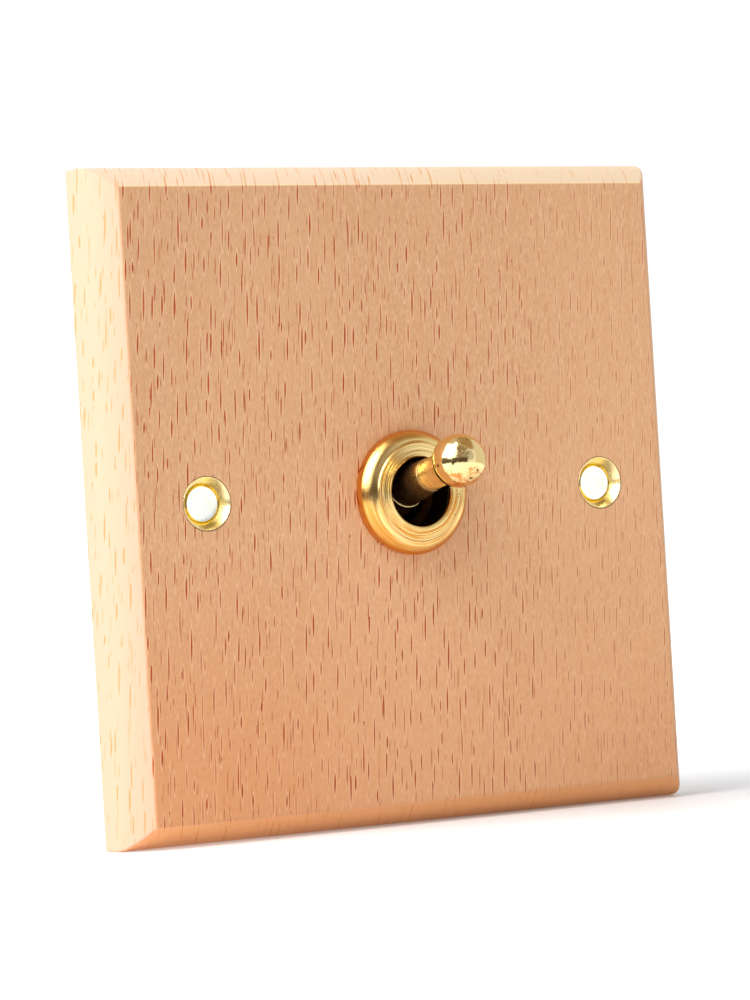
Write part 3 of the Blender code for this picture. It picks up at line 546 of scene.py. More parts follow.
def mirror_cap():
    """Flat mirror disc inside a golden rim; its near-white face is a painted highlight, standing for a
    blown-out reflection.
    """
    graph = material_graph("brass_cap_painted_highlight")
    position = graph.place()
    x, y, z = graph.separate(position)
    radius = graph.math("SQRT", graph.plus(graph.times(x, x), graph.times(z, z)))
    rim = graph.ramp(radius, CAP_RADIUS - 0.22, CAP_RADIUS - 0.17)
    cloud = graph.noise(position, 0.6, 3.0)
    # Painted highlight: the face is near white rather than brass.
    face = graph.mix(graph.ramp(cloud, 0.4, 0.8), (1.0, 0.99, 0.86), (0.98, 0.95, 0.72))
    colour = graph.mix(rim, face, srgb(255, 220, 84))
    hair = graph.noise(graph.combine(graph.times(x, 6.0), y, z), 1.0, 2.0, 0.6)
    graph.bump(hair, 0.002, 1.0)
    return graph.finish(colour, graph.math("MULTIPLY_ADD", cloud, 0.06, 0.03), Metallic=1.0)


def make_looks():
    gold = srgb(248, 218, 146)
    cream = srgb(247, 220, 156)
    amber = srgb(222, 162, 72)
    return {
        "beech": beech(),
        "brass_polished": brass(
            "brass_polished", cream, srgb(222, 150, 78), (0.04, 0.12), (0.55, 0.68), painted_underside_reflection=0.07, pitting=0.26,
        ),
        "brass_turned": brass(
            "brass_turned", gold, srgb(222, 152, 66), (0.1, 0.2), (0.46, 0.74),
            rings=(0.16, 0.012), grain=(0.14, 0.012), base=(6.6, 8.15), painted_underside_reflection=0.07, speckle=0.7,
        ),
        "brass_cup": brass(
            "brass_cup", srgb(250, 230, 172), srgb(214, 182, 92), (0.18, 0.32), (0.55, 0.7),
            grain=(0.2, 0.012),
        ),
        "brass_lever": brass(
            "brass_lever", cream, amber, (0.12, 0.24),
            rings=(0.3, 0.01), grain=(0.2, 0.014), painted_shade_span=(-11.1, -9.5),
        ),
        "brass_dark": brass("brass_dark", srgb(58, 38, 20), srgb(30, 20, 12), (0.4, 0.6)),
        "brass_plain": brass("brass_plain", srgb(224, 188, 118), srgb(178, 136, 70), (0.24, 0.4)),
        "brass_cap_painted_highlight": mirror_cap(),
        "steel": plated_steel(),
        "nylon": moulding("nylon", srgb(238, 236, 226), srgb(222, 219, 206), 0.34, 0.006),
        "phenolic": moulding("phenolic", srgb(72, 44, 30), srgb(50, 30, 22), 0.22, 0.01),
        "copper": brass("copper", srgb(226, 154, 116), srgb(160, 92, 62), (0.25, 0.4)),
        "silver": brass("silver", srgb(228, 227, 222), srgb(188, 186, 180), (0.2, 0.36)),
    }


# ---------------------------------------------------------------- mesh helpers


def make_piece(name, bm, look, at=(0.0, 0.0, 0.0), turn=(0.0, 0.0, 0.0), sharp=40.0):
    """Turn a bmesh drawn in millimetres into a shaded object in metres."""
    bmesh.ops.recalc_face_normals(bm, faces=bm.faces)
    bmesh.ops.scale(bm, vec=(MM, MM, MM), verts=bm.verts)
    mesh = bpy.data.meshes.new(name)
    bm.to_mesh(mesh)
    bm.free()
    mesh.materials.append(look)
    piece = bpy.data.objects.new(name, mesh)
    bpy.context.collection.objects.link(piece)
    piece.location = Vector(at) * MM
    piece.rotation_euler = turn
    shade(piece, sharp)
    return piece


def shade(piece, sharp):
    piece.data.shade_smooth()
    piece.data.set_sharp_from_angle(angle=math.radians(sharp))
    piece.modifiers.new("weighted", "WEIGHTED_NORMAL").keep_sharp = True


def adopt(piece, body, slot, *nodes):
    """Let a piece ride on a CAD body and stand for its nodes."""
    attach(piece, body)
    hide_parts(*nodes)


def arc(centre, radius, start, end, steps):
    """Points (y, r) on an arc about a (y, r) centre; angles in degrees from +Y towards +R."""
    points = []
    for i in range(steps + 1):
        angle = math.radians(start + (end - start) * i / steps)
        points.append((centre[0] + radius * math.cos(angle), centre[1] + radius * math.sin(angle)))
    return points


def eased(points, size, closed=False, steps=3):
    """A profile with each of its corners rounded off."""
    out = []
    count = len(points)
    for i, point in enumerate(points):
        here = Vector(point)
        before = Vector(points[i - 1]) - here
        after = Vector(points[(i + 1) % count]) - here
        stays = not closed and i in (0, count - 1)
        stays = stays or min(before.length, after.length) < TINY
        if stays or before.angle(after) > NEARLY_STRAIGHT:
            out.append(tuple(here))
            continue
        cut = min(size, 0.45 * before.length, 0.45 * after.length)
        first = here + before.normalized() * cut
        last = here + after.normalized() * cut
        for k in range(steps + 1):
            t = k / steps
            out.append(tuple((1 - t) ** 2 * first + 2 * t * (1 - t) * here + t * t * last))
    return out


def thread(start, end, radius, pitch, cut, rings=8):
    """Profile points (y, r, cut, pitch) of a screw thread."""
    count = max(2, round(abs(end - start) / pitch * rings))
    points = []
    for i in range(count + 1):
        y = start + (end - start) * i / count
        fade = min(1.0, 2.0 * min(i, count - i) / rings)
        points.append((y, radius, cut * fade, pitch))
    return points


def thread_depth(turns):
    """How deep a thread is cut at a number of turns: flat crests and roots with straight flanks."""
    phase = abs(2.0 * (turns % 1.0) - 1.0)
    return min(1.0, max(0.0, 1.5 * phase - 0.25))


def ring_of(bm, entry, segments):
    y, radius = entry[:2]
    if radius <= 0.0:
        return [bm.verts.new((0.0, y, 0.0))]
    verts = []
    for i in range(segments):
        angle = 2.0 * math.pi * i / segments
        r = radius
        if len(entry) > 2:
            r -= entry[2] * thread_depth(y / entry[3] - angle / (2.0 * math.pi))
        verts.append(bm.verts.new((r * math.cos(angle), y, r * math.sin(angle))))
    return verts


def skin_between(bm, first, second):
    """Join two rings of points, either of which may be a single point on the axis."""
    count = max(len(first), len(second))
    for i in range(count):
        j = (i + 1) % count
        if len(first) == 1:
            bm.faces.new((first[0], second[i], second[j]))
        elif len(second) == 1:
            bm.faces.new((first[i], first[j], second[0]))
        else:
            bm.faces.new((first[i], first[j], second[j], second[i]))


def turned(name, profile, look, at=(0.0, 0.0, 0.0), turn=(0.0, 0.0, 0.0), segments=MEDIUM, hollow=False):
    """A piece turned about Y from (y, radius) points; a hollow one closes on itself."""
    bm = bmesh.new()
    rings = [ring_of(bm, entry, segments) for entry in profile]
    pairs = list(zip(rings, rings[1:]))
    if hollow:
        pairs.append((rings[-1], rings[0]))
    for first, second in pairs:
        skin_between(bm, first, second)
    return make_piece(name, bm, look, at, turn)


def box_piece(name, low, high, look):
    bm = bmesh.new()
    bmesh.ops.create_cube(bm, size=1.0)
    bmesh.ops.scale(bm, vec=[b - a for a, b in zip(low, high)], verts=bm.verts)
    bmesh.ops.translate(bm, vec=[(a + b) / 2.0 for a, b in zip(low, high)], verts=bm.verts)
    return make_piece(name, bm, look)


def carve(piece, cutter, sharp=40.0):
    """Cut a piece with another object, and keep only the result."""
    piece.modifiers.clear()
    modifier = piece.modifiers.new("carve", "BOOLEAN")
    modifier.object = cutter
    modifier.solver = "EXACT"
    graph = bpy.context.evaluated_depsgraph_get()
    piece.data = bpy.data.meshes.new_from_object(piece.evaluated_get(graph))
    piece.modifiers.clear()
    bpy.data.objects.remove(cutter, do_unlink=True)
    shade(piece, sharp)


def break_edges(piece, width):
    """A small bevel on every sharp edge, before the weighted normals."""
    piece.modifiers.clear()
    bevel = piece.modifiers.new("edges", "BEVEL")
    bevel.width = width * MM
    bevel.segments = 3
    bevel.limit_method = "ANGLE"
    bevel.angle_limit = math.radians(35.0)
    bevel.use_clamp_overlap = True
    shade(piece, 60.0)


def refined(node, body, slot, look, width):
    """A CAD node's shape again, with its triangles joined up into faces and its edges broken."""
    bm = bmesh.new()
    bm.from_mesh(frame["nodes"][node].data)
    bmesh.ops.remove_doubles(bm, verts=bm.verts, dist=0.002 * MM)
    bmesh.ops.dissolve_limit(bm, angle_limit=math.radians(0.6), verts=bm.verts, edges=bm.edges)
    bmesh.ops.scale(bm, vec=(1.0 / MM,) * 3, verts=bm.verts)
    piece = make_piece(f"{node}_piece", bm, look)
    break_edges(piece, width)
    adopt(piece, body, slot, node)


# ---------------------------------------------------------------- plate


def plate_profile():
    """(half size, y) pairs from the wall forward: square side, eased edge, rounded arris."""
    points = [(HALF - ARRIS, 0.0), (HALF, -ARRIS)]
    for i in range(EDGE_STEPS):
        t = 1.0 - i / EDGE_STEPS
        inset = EDGE_INSET * (1.0 - t) ** 2 + 2.0 * t * (1.0 - t) * EDGE_EASE
        depth = 2.0 * t * (1.0 - t) * EDGE_LEAD + t * t * EDGE_DEPTH
        points.append((HALF - inset, FRONT + depth))
    slope = Vector((EDGE_EASE - EDGE_INSET, -EDGE_LEAD)).normalized()
    corner = Vector((HALF - EDGE_INSET, FRONT))
    first = corner - slope * ARRIS
    last = corner - Vector((ARRIS, 0.0))
    points = [p for p in points if p[1] > first.y + 0.05]
    for k in range(5):
        t = k / 4.0
        points.append(tuple((1 - t) ** 2 * first + 2 * t * (1 - t) * corner + t * t * last))
    return points


def rounded_square(half, radius, steps=4):
    points = []
    for corner, (sx, sz) in enumerate(((1, 1), (-1, 1), (-1, -1), (1, -1))):
        for i in range(steps + 1):
            angle = math.radians(90.0 * (corner + i / steps))
            x = sx * (half[0] - radius) + radius * math.cos(angle)
            z = sz * (half[1] - radius) + radius * math.sin(angle)
            points.append((x, z))
    return points


def make_plate(looks):
    bm = bmesh.new()
    rings = []
    for half, y in plate_profile():
        rings.append([bm.verts.new((x, y, z)) for x, z in rounded_square((half, half), MITRE)])
    for first, second in zip(rings, rings[1:]):
        skin_between(bm, first, second)
    bm.faces.new(rings[0])
    bm.faces.new(rings[-1])
    plate = make_piece("plate_wood", bm, looks["beech"], sharp=30.0)

    bm = bmesh.new()
    low, high = [
        [bm.verts.new((x, y, z)) for x, z in rounded_square(POCKET_HALVES, POCKET_CORNER, 16)]
        for y in (-POCKET_DEPTH, 1.0)
    ]
    skin_between(bm, low, high)
    bm.faces.new(low)
    bm.faces.new(high)
    carve(plate, make_piece("pocket_cutter", bm, looks["beech"]))
    barrel = [(FRONT - 1.0, 0.0), (FRONT - 1.0, BARREL_HOLE), (0.0, BARREL_HOLE), (0.0, 0.0)]
    carve(plate, turned("barrel_cutter", barrel, looks["beech"], segments=FINE))
    seat_end = FRONT + CUP_DEPTH + GAP
    clearance = SCREW_RADIUS + GAP
    hole = [
        (FRONT - 1.0, 0.0),
        (FRONT - 1.0, FIXING_HOLE + 1.0 + FIXING_FLARE),
        (FRONT + FIXING_FLARE, FIXING_HOLE),
        (seat_end, FIXING_HOLE),
        (seat_end, clearance),
        (1.0, clearance),
        (1.0, 0.0),
    ]
    for x in (-FIXING_X, FIXING_X):
        at = (x + DRILL_DRIFT[0], 0.0, DRILL_DRIFT[1])
        carve(plate, turned("fixing_cutter", hole, looks["beech"], at, segments=FINE), 30.0)
    adopt(plate, "base", "beech", "face_plate")


# ---------------------------------------------------------------- fixings


def make_cup(side, x, looks):
    """Cup pressed into the wood: thin lip, flared wall, throat and a countersunk seat for the screw."""
    clearance = SCREW_RADIUS + GAP
    profile = eased([
        (FRONT - 0.05, CUP_RADIUS - 0.02),
        (FRONT - 0.05, CUP_MOUTH),
        (FRONT + CAP_SINK + 0.15, CUP_THROAT),
        (HEAD_TOP + GAP, CUP_THROAT),
        (HEAD_TOP + 1.45, clearance),
        (FRONT + CUP_DEPTH, clearance),
        (FRONT + CUP_DEPTH, CUP_RADIUS),
        (FRONT + 0.06, CUP_RADIUS),
    ], 0.04, closed=True)
    cup = turned(f"cup_{side}", profile, looks["brass_cup"], (x, 0.0, 0.0), segments=FINE, hollow=True)
    adopt(cup, "base", "brass_polished", f"screw_cup_{side}")


def make_cap(side, x, looks):
    """Slightly dished disc with a sloped rim, and the stud that holds it in the screw's head."""
    face = FRONT + CAP_SINK
    back = face + CAP_THICKNESS
    profile = [(face + CAP_DISH * (1.0 - (r / CAP_RADIUS) ** 2), r) for r in (0.0, 0.6, 1.1, 1.6, 2.0)]
    profile += eased([
        (face, CAP_RADIUS - 0.18),
        (face + 0.14, CAP_RADIUS),
        (back, CAP_RADIUS),
        (back, STUD_RADIUS),
        (back + STUD_LENGTH, STUD_RADIUS),
        (back + STUD_LENGTH, 0.0),
    ], 0.05)
    cap = turned(f"cap_{side}", profile, looks["brass_cap_painted_highlight"], (x, 0.0, 0.0), segments=FINE)
    adopt(cap, "base", "brass_polished", f"screw_cap_{side}")


def make_fixing_screw(side, x, looks):
    """Countersunk screw, drilled for the cap's stud, with a slot, a thread and a tapered end."""
    top = HEAD_TOP
    hole = STUD_RADIUS + 0.2
    head = [(top + 2.2, 0.0), (top + 2.2, hole), (top, hole), (top, SCREW_HEAD), (top + 1.2, 1.6)]
    profile = eased(head, 0.06)
    profile += thread(top + 1.4, SCREW_END - 1.0, SCREW_RADIUS, 0.6, 0.3)
    profile += [(SCREW_END - 0.9, 1.3), (SCREW_END, 0.85), (SCREW_END, 0.0)]
    screw = turned(f"screw_{side}", profile, looks["brass_plain"], (x, 0.0, 0.0), segments=COARSE)
    reach = SCREW_HEAD + 1.0
    low = (x - reach, top - 1.0, -SLOT_HALF)
    high = (x + reach, top + 0.5, SLOT_HALF)
    carve(screw, box_piece("slot", low, high, looks["brass_plain"]))
    adopt(screw, "base", "brass_plain", f"fixing_screw_{side}")


# ---------------------------------------------------------------- bezel and bushing


def curve(start, control, end, steps):
    """Points on a quadratic curve, without its first point."""
    a, b, c = Vector(start), Vector(control), Vector(end)
    ts = [(i + 1) / steps for i in range(steps)]
    return [tuple((1 - t) ** 2 * a + 2 * t * (1 - t) * b + t * t * c) for t in ts]


def swept(start, radius, first, last, steps):
    """Points (r, height) on a convex arc while its normal leans from first to last degrees off the axis."""
    first, last = math.radians(first), math.radians(last)
    centre = (start[0] - radius * math.sin(first), start[1] - radius * math.cos(first))
    leans = [first + (last - first) * (i + 1) / steps for i in range(steps)]
    return [(centre[0] + radius * math.sin(a), centre[1] + radius * math.cos(a)) for a in leans]


def make_bezel(looks):
    """Upright wall, round flank, ridge, turned face with fine grooves and a rolled mouth."""
    ridge = BEZEL_RIDGE
    outline = [(BARREL_RADIUS + GAP, 0.0), (BEZEL_RADIUS - 0.08, 0.0), (BEZEL_RADIUS, 0.08)]
    outline += [(BEZEL_RADIUS, BEZEL_WALL)]
    for stretch in BEZEL_FLANK:
        outline += swept(outline[-1], *stretch)
    outline += curve(outline[-1], (ridge + 0.02, 2.66), (ridge, 2.82), 8)
    outline += curve(outline[-1], (ridge - 0.01, 2.88), (ridge - 0.08, 2.88), 4)
    for radius, depth in BEZEL_GROOVES:
        level = 2.87 + 0.2 * (ridge - radius) / (ridge - 4.8)
        outline += [(radius + 0.06, level), (radius, level - depth), (radius - 0.06, level + 0.008)]
    outline += [(BEZEL_LIP, BEZEL_HEIGHT)]
    outline += curve(outline[-1], (BEZEL_MOUTH, BEZEL_HEIGHT), (BEZEL_MOUTH, 2.72), 10)
    outline += [(BEZEL_MOUTH + 0.02, 2.35), (BORE_RADIUS, BEZEL_SEAT), (BARREL_RADIUS + GAP, BEZEL_SEAT)]
    profile = [(FRONT - height, radius) for radius, height in outline]
    bezel = turned("bezel", profile, looks["brass_turned"], segments=FINE, hollow=True)
    adopt(bezel, "base", "brass_turned", "bezel_ring")


def make_bushing(looks):
    """Threaded barrel, flange and spigot, with a waist inside where the lever's ball sits."""
    end = FRONT - BARREL_STAND
    taper = BORE_RADIUS - SEAT_RADIUS
    flange_radius, flange_start, flange_end = FLANGE
    spigot_radius, spigot_end = SPIGOT
    root = BARREL_RADIUS - 0.3
    front = [(end, BORE_RADIUS), (end, BARREL_RADIUS - 0.35), (end + 0.2, BARREL_RADIUS - 0.1)]
    barrel = thread(end + 0.3, 0.0, BARREL_RADIUS, 0.75, 0.3)
    back = eased([
        (0.1, root),
        (flange_start, root),
        (flange_start, flange_radius),
        (flange_end, flange_radius),
        (flange_end, spigot_radius),
        (spigot_end, spigot_radius),
        (spigot_end, BORE_RADIUS),
        (PIVOT_Y + SEAT_HALF + taper, BORE_RADIUS),
        (PIVOT_Y + SEAT_HALF, SEAT_RADIUS),
        (PIVOT_Y - SEAT_HALF, SEAT_RADIUS),
        (PIVOT_Y - SEAT_HALF - taper, BORE_RADIUS),
    ], 0.12)
    profile = front + barrel + back
    bushing = turned("bushing_turned", profile, looks["brass_dark"], segments=FINE, hollow=True)
    adopt(bushing, "base", "brass_plain", "bushing")


def radial_plate(name, outside, bore, span, look, ease, segments=FINE, at=(0.0, 0.0, 0.0)):
    """A washer or nut about Y; outside gives its radius from an angle and the easing of an end's corner."""
    bm = bmesh.new()
    low, high = span
    levels = [(low, ease), (low + ease * 0.3, ease * 0.3), (low + ease, 0.0)]
    levels += [(high - ease, 0.0), (high - ease * 0.3, ease * 0.3), (high, ease)]
    angles = [2.0 * math.pi * i / segments for i in range(segments)]
    loops = []
    outer = [(y, [outside(a, shrink) for a in angles]) for y, shrink in levels]
    inner = [(y, [bore + 0.6 * grow] * segments) for y, grow in reversed(levels)]
    for y, radii in outer + inner:
        polar = zip(radii, angles)
        loops.append([bm.verts.new((r * math.cos(a), y, r * math.sin(a))) for r, a in polar])
    for first, second in zip(loops, loops[1:] + loops[:1]):
        skin_between(bm, first, second)
    return make_piece(name, bm, look, at, sharp=30.0)


def chamfered_hexagon(flats):
    """Hexagon radius; towards an end face it is also limited by a cone, which gives the usual arcs."""
    def outside(angle, shrink):
        off_flat = (angle + math.pi / 6.0) % (math.pi / 3.0) - math.pi / 6.0
        return min(flats / 2.0 / math.cos(off_flat), flats / 2.0 * 1.155 - 2.2 * shrink)
    return outside


def toothed_edge(angle, shrink):
    """Teeth with sloping flanks."""
    phase = (angle / (2.0 * math.pi) * TEETH) % 1.0
    tooth = min(1.0, max(0.0, 4.0 * (0.35 - abs(phase - 0.5))))
    return TOOTH_ROOT + TOOTH_HEIGHT * tooth - 0.4 * shrink


def make_clamp_stack(looks):
    bore = BARREL_RADIUS + 0.2
    washer = radial_plate("washer_toothed", toothed_edge, bore, WASHER_SPAN, looks["steel"], 0.08)
    adopt(washer, "base", "steel", "lock_washer")
    outside = chamfered_hexagon(NUT_FLATS)
    nut = radial_plate("nut_hex", outside, bore, NUT_SPAN, looks["brass_plain"], 0.3)
    adopt(nut, "base", "brass_plain", "lock_nut")
    outside = chamfered_hexagon(EARTH_NUT_FLATS)
    small = radial_plate(
        "earth_nut_hex", outside, EARTH_NUT_BORE, EARTH_NUT_SPAN, looks["brass_plain"], 0.22, MEDIUM,
        (0.0, 0.0, EARTH_Z),
    )
    adopt(small, "base", "brass_plain", "earth_nut")


# ---------------------------------------------------------------- lever


def make_lever(looks):
    """Turned from one bar: bored tail, pivot ball, collar, long taper, ledge, neck and the knob's stud."""
    ball_front = math.degrees(math.asin(COLLAR_RADIUS / BALL_RADIUS))
    ball_back = math.degrees(math.asin(TAIL_RADIUS / BALL_RADIUS))
    profile = eased([
        (BORE_END, 0.0),
        (BORE_END, TAIL_BORE),
        (TAIL_END, TAIL_BORE),
        (TAIL_END, TAIL_RADIUS - 0.2),
        (TAIL_END - 0.2, TAIL_RADIUS),
    ], 0.06)
    profile += arc((0.0, 0.0), BALL_RADIUS, ball_back, 180.0 - ball_front, 30)
    profile += eased([
        (-3.75, COLLAR_RADIUS),
        (-3.9, 2.75),
        (-3.9, 2.66),
        (-10.12, 2.18),
        (-10.18, 2.12),
        (-10.26, 2.12),
        (-10.32, 2.16),
        (-10.5, 2.12),
        (-14.3, 2.1),
        (-14.3, 1.1),
        (-16.4, 1.1),
        (-16.4, 0.0),
    ], 0.05)
    at = (0.0, PIVOT_Y, 0.0)
    lever = turned("lever_turned", profile, looks["brass_lever"], at, (LEVER_TILT, 0.0, 0.0), segments=FINE)
    reach = BALL_RADIUS + 1.35
    pin_way = [(-reach, 0.0), (-reach, PIN_WAY_RADIUS), (reach, PIN_WAY_RADIUS), (reach, 0.0)]
    sideways = (0.0, 0.0, math.pi / 2.0)
    carve(lever, turned("pin_way", pin_way, looks["brass_lever"], at, sideways, segments=COARSE))
    adopt(lever, "lever", "brass_turned", "lever")


def make_knob(looks):
    flat = math.sqrt(KNOB_RADIUS ** 2 - KNOB_SEAT_RADIUS ** 2)
    start = math.degrees(math.acos(flat / KNOB_RADIUS))
    profile = eased([(0.4, 0.0), (0.4, KNOB_BORE), (flat, KNOB_BORE), (flat + 0.04, 2.0)], 0.05)
    profile += arc((0.0, 0.0), KNOB_RADIUS, start, 180.0, 64)[:-1] + [(-KNOB_RADIUS, 0.0)]
    along = Vector((0.0, -math.cos(LEVER_TILT), -math.sin(LEVER_TILT))) * KNOB_CENTRE
    at = Vector((0.0, PIVOT_Y, 0.0)) + along
    knob = turned("knob", profile, looks["brass_polished"], at, (LEVER_TILT, 0.0, 0.0), segments=FINE)
    adopt(knob, "lever", "brass_polished", "lever_knob")


def make_spring(looks):
    """Coil behind the plunger, with its end turns closed up."""
    bm = bmesh.new()
    steps = round(SPRING_TURNS * 24)
    section = [2.0 * math.pi * k / 12 for k in range(12)]
    loops = []
    for i in range(steps + 1):
        t = i / steps
        angle = 2.0 * math.pi * SPRING_TURNS * t
        rise = t - 0.09 * math.sin(2.0 * math.pi * t) - 0.03 * math.sin(4.0 * math.pi * t)
        outward = Vector((math.cos(angle), 0.0, math.sin(angle)))
        upward = Vector((0.0, 1.0, 0.0))
        middle = outward * SPRING_COIL + upward * (SPRING_START + (SPRING_END - SPRING_START) * rise)
        ring = [middle + (outward * math.cos(b) + upward * math.sin(b)) * SPRING_WIRE for b in section]
        loops.append([bm.verts.new(point) for point in ring])
    for first, second in zip(loops, loops[1:]):
        skin_between(bm, first, second)
    bm.faces.new(loops[0])
    bm.faces.new(loops[-1])
    at = (0.0, PIVOT_Y, 0.0)
    spring = make_piece("spring_coil", bm, looks["steel"], at, (LEVER_TILT, 0.0, 0.0), sharp=80.0)
    adopt(spring, "lever", "steel", "plunger_spring")
    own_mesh(spring)


# ---------------------------------------------------------------- switch body and its screws


def make_machine_screw(node, head, shank, look, at, turn):
    """A cheese-head screw along its own +Y; head and shank are (radius, length)."""
    head_radius, head_length = head
    shank_radius, shank_length = shank
    top = -head_length
    profile = eased([(top, 0.0), (top, head_radius), (0.0, head_radius), (0.0, shank_radius)], 0.22)
    profile += thread(0.15, shank_length - 0.4, shank_radius, 0.6, 0.24)
    profile += [(shank_length, shank_radius - 0.4), (shank_length, 0.0)]
    screw = turned(f"{node}_turned", profile, look, at, turn)
    reach = head_radius + 1.0
    slot = box_piece("slot", (-reach, top - 1.0, -SLOT_HALF), (reach, top + 0.7, SLOT_HALF), look)
    slot.location = Vector(at) * MM
    slot.rotation_euler = turn
    carve(screw, slot)
    adopt(screw, "base", "brass_plain", node)


def make_back(looks):
    """The switch body and its terminals: CAD shapes with broken edges, and screws with real threads."""
    plain = looks["brass_plain"]
    steel = looks["steel"]
    silver = looks["silver"]
    nylon = looks["nylon"]
    refined("housing", "base", "phenolic", looks["phenolic"], 0.35)
    refined("frame", "base", "steel", steel, 0.2)
    refined("earth_tag", "base", "brass_plain", plain, 0.12)
    at = (0.0, EARTH_SEAT, EARTH_Z)
    make_machine_screw("earth_screw", EARTH_HEAD, EARTH_SHANK, plain, at, (0.0, 0.0, math.pi))
    refined("pivot_pin", "base", "steel", steel, 0.1)
    for label, seat, side in TERMINAL_SEATS:
        refined(f"terminal_{label}", "base", "brass_plain", plain, 0.1)
        refined(f"terminal_clamp_{label}", "base", "steel", steel, 0.15)
        at = (0.0, TERMINAL_Y, seat)
        turn = (-side * math.pi / 2.0, 0.0, 0.0)
        make_machine_screw(f"terminal_screw_{label}", TERMINAL_HEAD, TERMINAL_SHANK, plain, at, turn)
    for label in ("upper", "lower"):
        refined(f"fixed_contact_{label}", "base", "silver", silver, 0.06)
        refined(f"moving_contact_{label}", "rocker", "silver", silver, 0.06)
    refined("rocker", "rocker", "nylon", nylon, 0.2)
    refined("contact_strip", "rocker", "copper", looks["copper"], 0.12)
    refined("plunger", "plunger", "nylon", nylon, 0.08)


# ---------------------------------------------------------------- stage

# Light that polished metal reflects, by where it comes from
ROOM = {
    "walls": (1.02, 1.06, 1.16),
    "ceiling": (0.52, 0.41, 0.26),
    "canopy": (0.34, 0.2, 0.06),
    "right": (0.78, 0.78, 0.74),
    "stand": (0.2, 0.12, 0.05),
    "band": (0.06, 0.042, 0.015),
    "window": (3.0, 3.1, 3.3),
}
MATT_LIGHT = (0.54, 0.54, 0.54)
BACKDROP = (1.05, 1.05, 1.05)


def make_camera():
    data = bpy.data.cameras.new("camera")
    data.lens = CAMERA_LENS
    data.clip_start = 0.01
    camera = bpy.data.objects.new("camera", data)
    bpy.context.collection.objects.link(camera)
    azimuth, elevation = math.radians(CAMERA_AZIMUTH), math.radians(CAMERA_ELEVATION)
    forward = Vector((
        math.sin(azimuth) * math.cos(elevation),
        math.cos(azimuth) * math.cos(elevation),
        math.sin(elevation),
    ))
    upright = forward.to_track_quat("-Z", "Y")
    roll = Matrix.Rotation(math.radians(CAMERA_ROLL), 4, "Z")
    place = Matrix.Translation(Vector(CAMERA_PLACE) * MM)
    camera.matrix_world = place @ upright.to_matrix().to_4x4() @ roll
    bpy.context.scene.camera = camera


def make_floor():
    """White table top that glows a little, so that it has no horizon; its far part isn't reflected."""
    graph = material_graph("floor_white")
    position = graph.place()
    x, y, _ = graph.separate(position)
    off_side = graph.less(x, 40.0)
    distance = graph.math("SQRT", graph.plus(graph.times(off_side, off_side), graph.times(y, y)))
    glow = graph.ramp(distance, 20.0, 140.0, 0.14, 0.5)
    graph.feed(glow, graph.shader.inputs["Emission Strength"])
    graph.shader.inputs["Emission Color"].default_value = (1.0, 1.0, 1.0, 1.0)
    cloud = graph.noise(position, 0.01, 2.0)
    graph.finish(graph.mix(cloud, srgb(222, 222, 222), srgb(226, 226, 226)), 0.6)
    for name, inner, outer in (("floor", 0.0, TABLE_REACH), ("floor_far", TABLE_REACH, FLOOR_REACH)):
        bm = bmesh.new()
        loops = []
        for radius in (inner, outer):
            angles = [2.0 * math.pi * i / FINE for i in range(FINE)] if radius else [0.0]
            loops.append([bm.verts.new((radius * math.cos(a), radius * math.sin(a), 0.0)) for a in angles])
        skin_between(bm, *loops)
        floor = make_piece(name, bm, graph.owner)
        floor.location.z = cad_low.z - FLOOR_GAP * MM
        floor.visible_glossy = name == "floor"


def make_key_light():
    data = bpy.data.lights.new("key", "AREA")
    data.shape = "RECTANGLE"
    data.size, data.size_y = KEY_SIZE
    data.energy = KEY_POWER
    light = bpy.data.objects.new("key", data)
    bpy.context.collection.objects.link(light)
    direction = Vector(KEY_WAY).normalized()
    light.location = direction
    light.rotation_euler = (-direction).to_track_quat("-Z", "Y").to_euler()


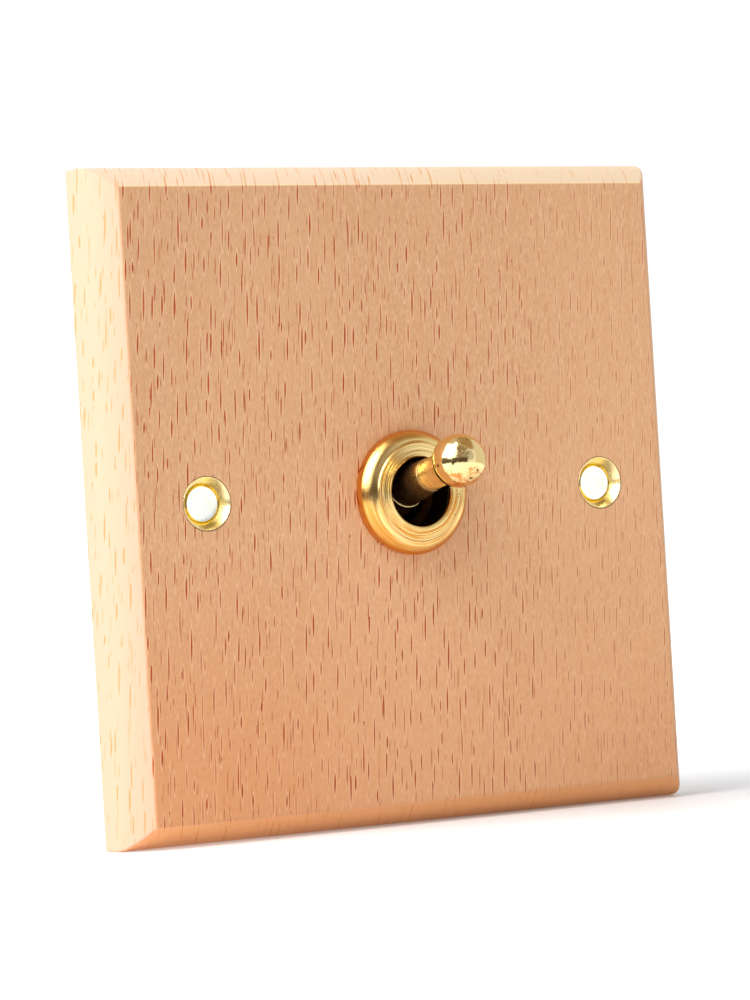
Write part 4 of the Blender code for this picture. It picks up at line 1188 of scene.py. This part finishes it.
def make_world():
    """White to the camera, even to matt surfaces, and to polished ones a bright room with a large window on
    the left, a dark band level with the eye and a stand in front of the switch."""
    world = bpy.data.worlds.new("studio")
    bpy.context.scene.world = world
    graph = Graph(world)
    direction = graph.node("ShaderNodeTexCoord").outputs["Generated"]
    x, _, z = graph.separate(direction)
    fine = graph.less(graph.noise(direction, 34.0, 4.0, 0.75), 0.5)
    broad = graph.less(graph.noise(direction, 7.0, 3.0, 0.6), 0.5)
    ragged = graph.plus(fine, graph.times(broad, 0.8))
    height = graph.plus(z, graph.times(ragged, 0.7))
    level = graph.times(graph.ramp(height, -0.2, -0.14), graph.ramp(height, 0.24, 0.14))
    band = graph.times(level, graph.ramp(graph.plus(x, graph.times(ragged, 0.5)), 0.15, 0.03))
    toward_stand = graph.plus(graph.dot(direction, STAND_WAY), graph.times(ragged, 1.1))
    stand = graph.ramp(toward_stand, 0.8, 0.92, 0.0, 0.85)
    toward_lens = graph.plus(graph.dot(direction, LENS_WAY), graph.times(fine, 0.03))
    lens = graph.ramp(toward_lens, 0.94, 0.955, 0.0, 0.42)
    canopy = graph.plus(graph.dot(direction, CANOPY_WAY), graph.times(ragged, 0.5))
    room = graph.mix(graph.ramp(z, 0.45, 0.8, 0.0, 0.7), ROOM["walls"], ROOM["ceiling"])
    room = graph.mix(graph.ramp(canopy, 0.78, 0.93, 0.0, 0.8), room, ROOM["canopy"])
    room = graph.mix(graph.ramp(x, 0.58, 0.75), room, ROOM["right"])
    room = graph.mix(stand, room, ROOM["stand"])
    room = graph.mix(graph.math("MAXIMUM", graph.times(band, 0.94), lens), room, ROOM["band"])

    sideways = graph.dot(direction, WINDOW_SIDE)
    leftward = graph.dot(direction, WINDOW_WAY)
    slant = graph.math("ABSOLUTE", graph.math("DIVIDE", sideways, leftward))
    slant = graph.plus(slant, graph.times(ragged, 1.3))
    pane = graph.times(graph.ramp(slant, 0.48, 0.4), graph.ramp(leftward, 0.1, 0.14))
    pane = graph.times(pane, graph.ramp(graph.plus(z, graph.times(ragged, 1.1)), 0.2, 0.28))
    room = graph.mix(pane, room, ROOM["window"])

    path = graph.node("ShaderNodeLightPath")
    even = graph.mix(path.outputs["Is Diffuse Ray"], room, MATT_LIGHT)
    seen = graph.mix(path.outputs["Is Camera Ray"], even, BACKDROP)
    graph.feed(seen, graph.tree.nodes["Background"].inputs["Color"])
    bpy.context.scene.view_settings.view_transform = "Standard"


# ---------------------------------------------------------------- everything together


def dress_cad(looks):
    """Every CAD node that stays gets its finished material."""
    slots = {part["node"]: part["material_slot"] for part in frame["record"]["subparts"]}
    for name, node in frame["nodes"].items():
        node.data.materials.clear()
        node.data.materials.append(looks[slots[name]])


looks = make_looks()
dress_cad(looks)
make_plate(looks)
for side, x in (("left", -FIXING_X), ("right", FIXING_X)):
    make_cup(side, x, looks)
    make_cap(side, x, looks)
    make_fixing_screw(side, x, looks)
make_bezel(looks)
make_bushing(looks)
make_clamp_stack(looks)
make_lever(looks)
make_knob(looks)
make_spring(looks)
make_back(looks)
make_camera()
make_floor()
make_key_light()
make_world()
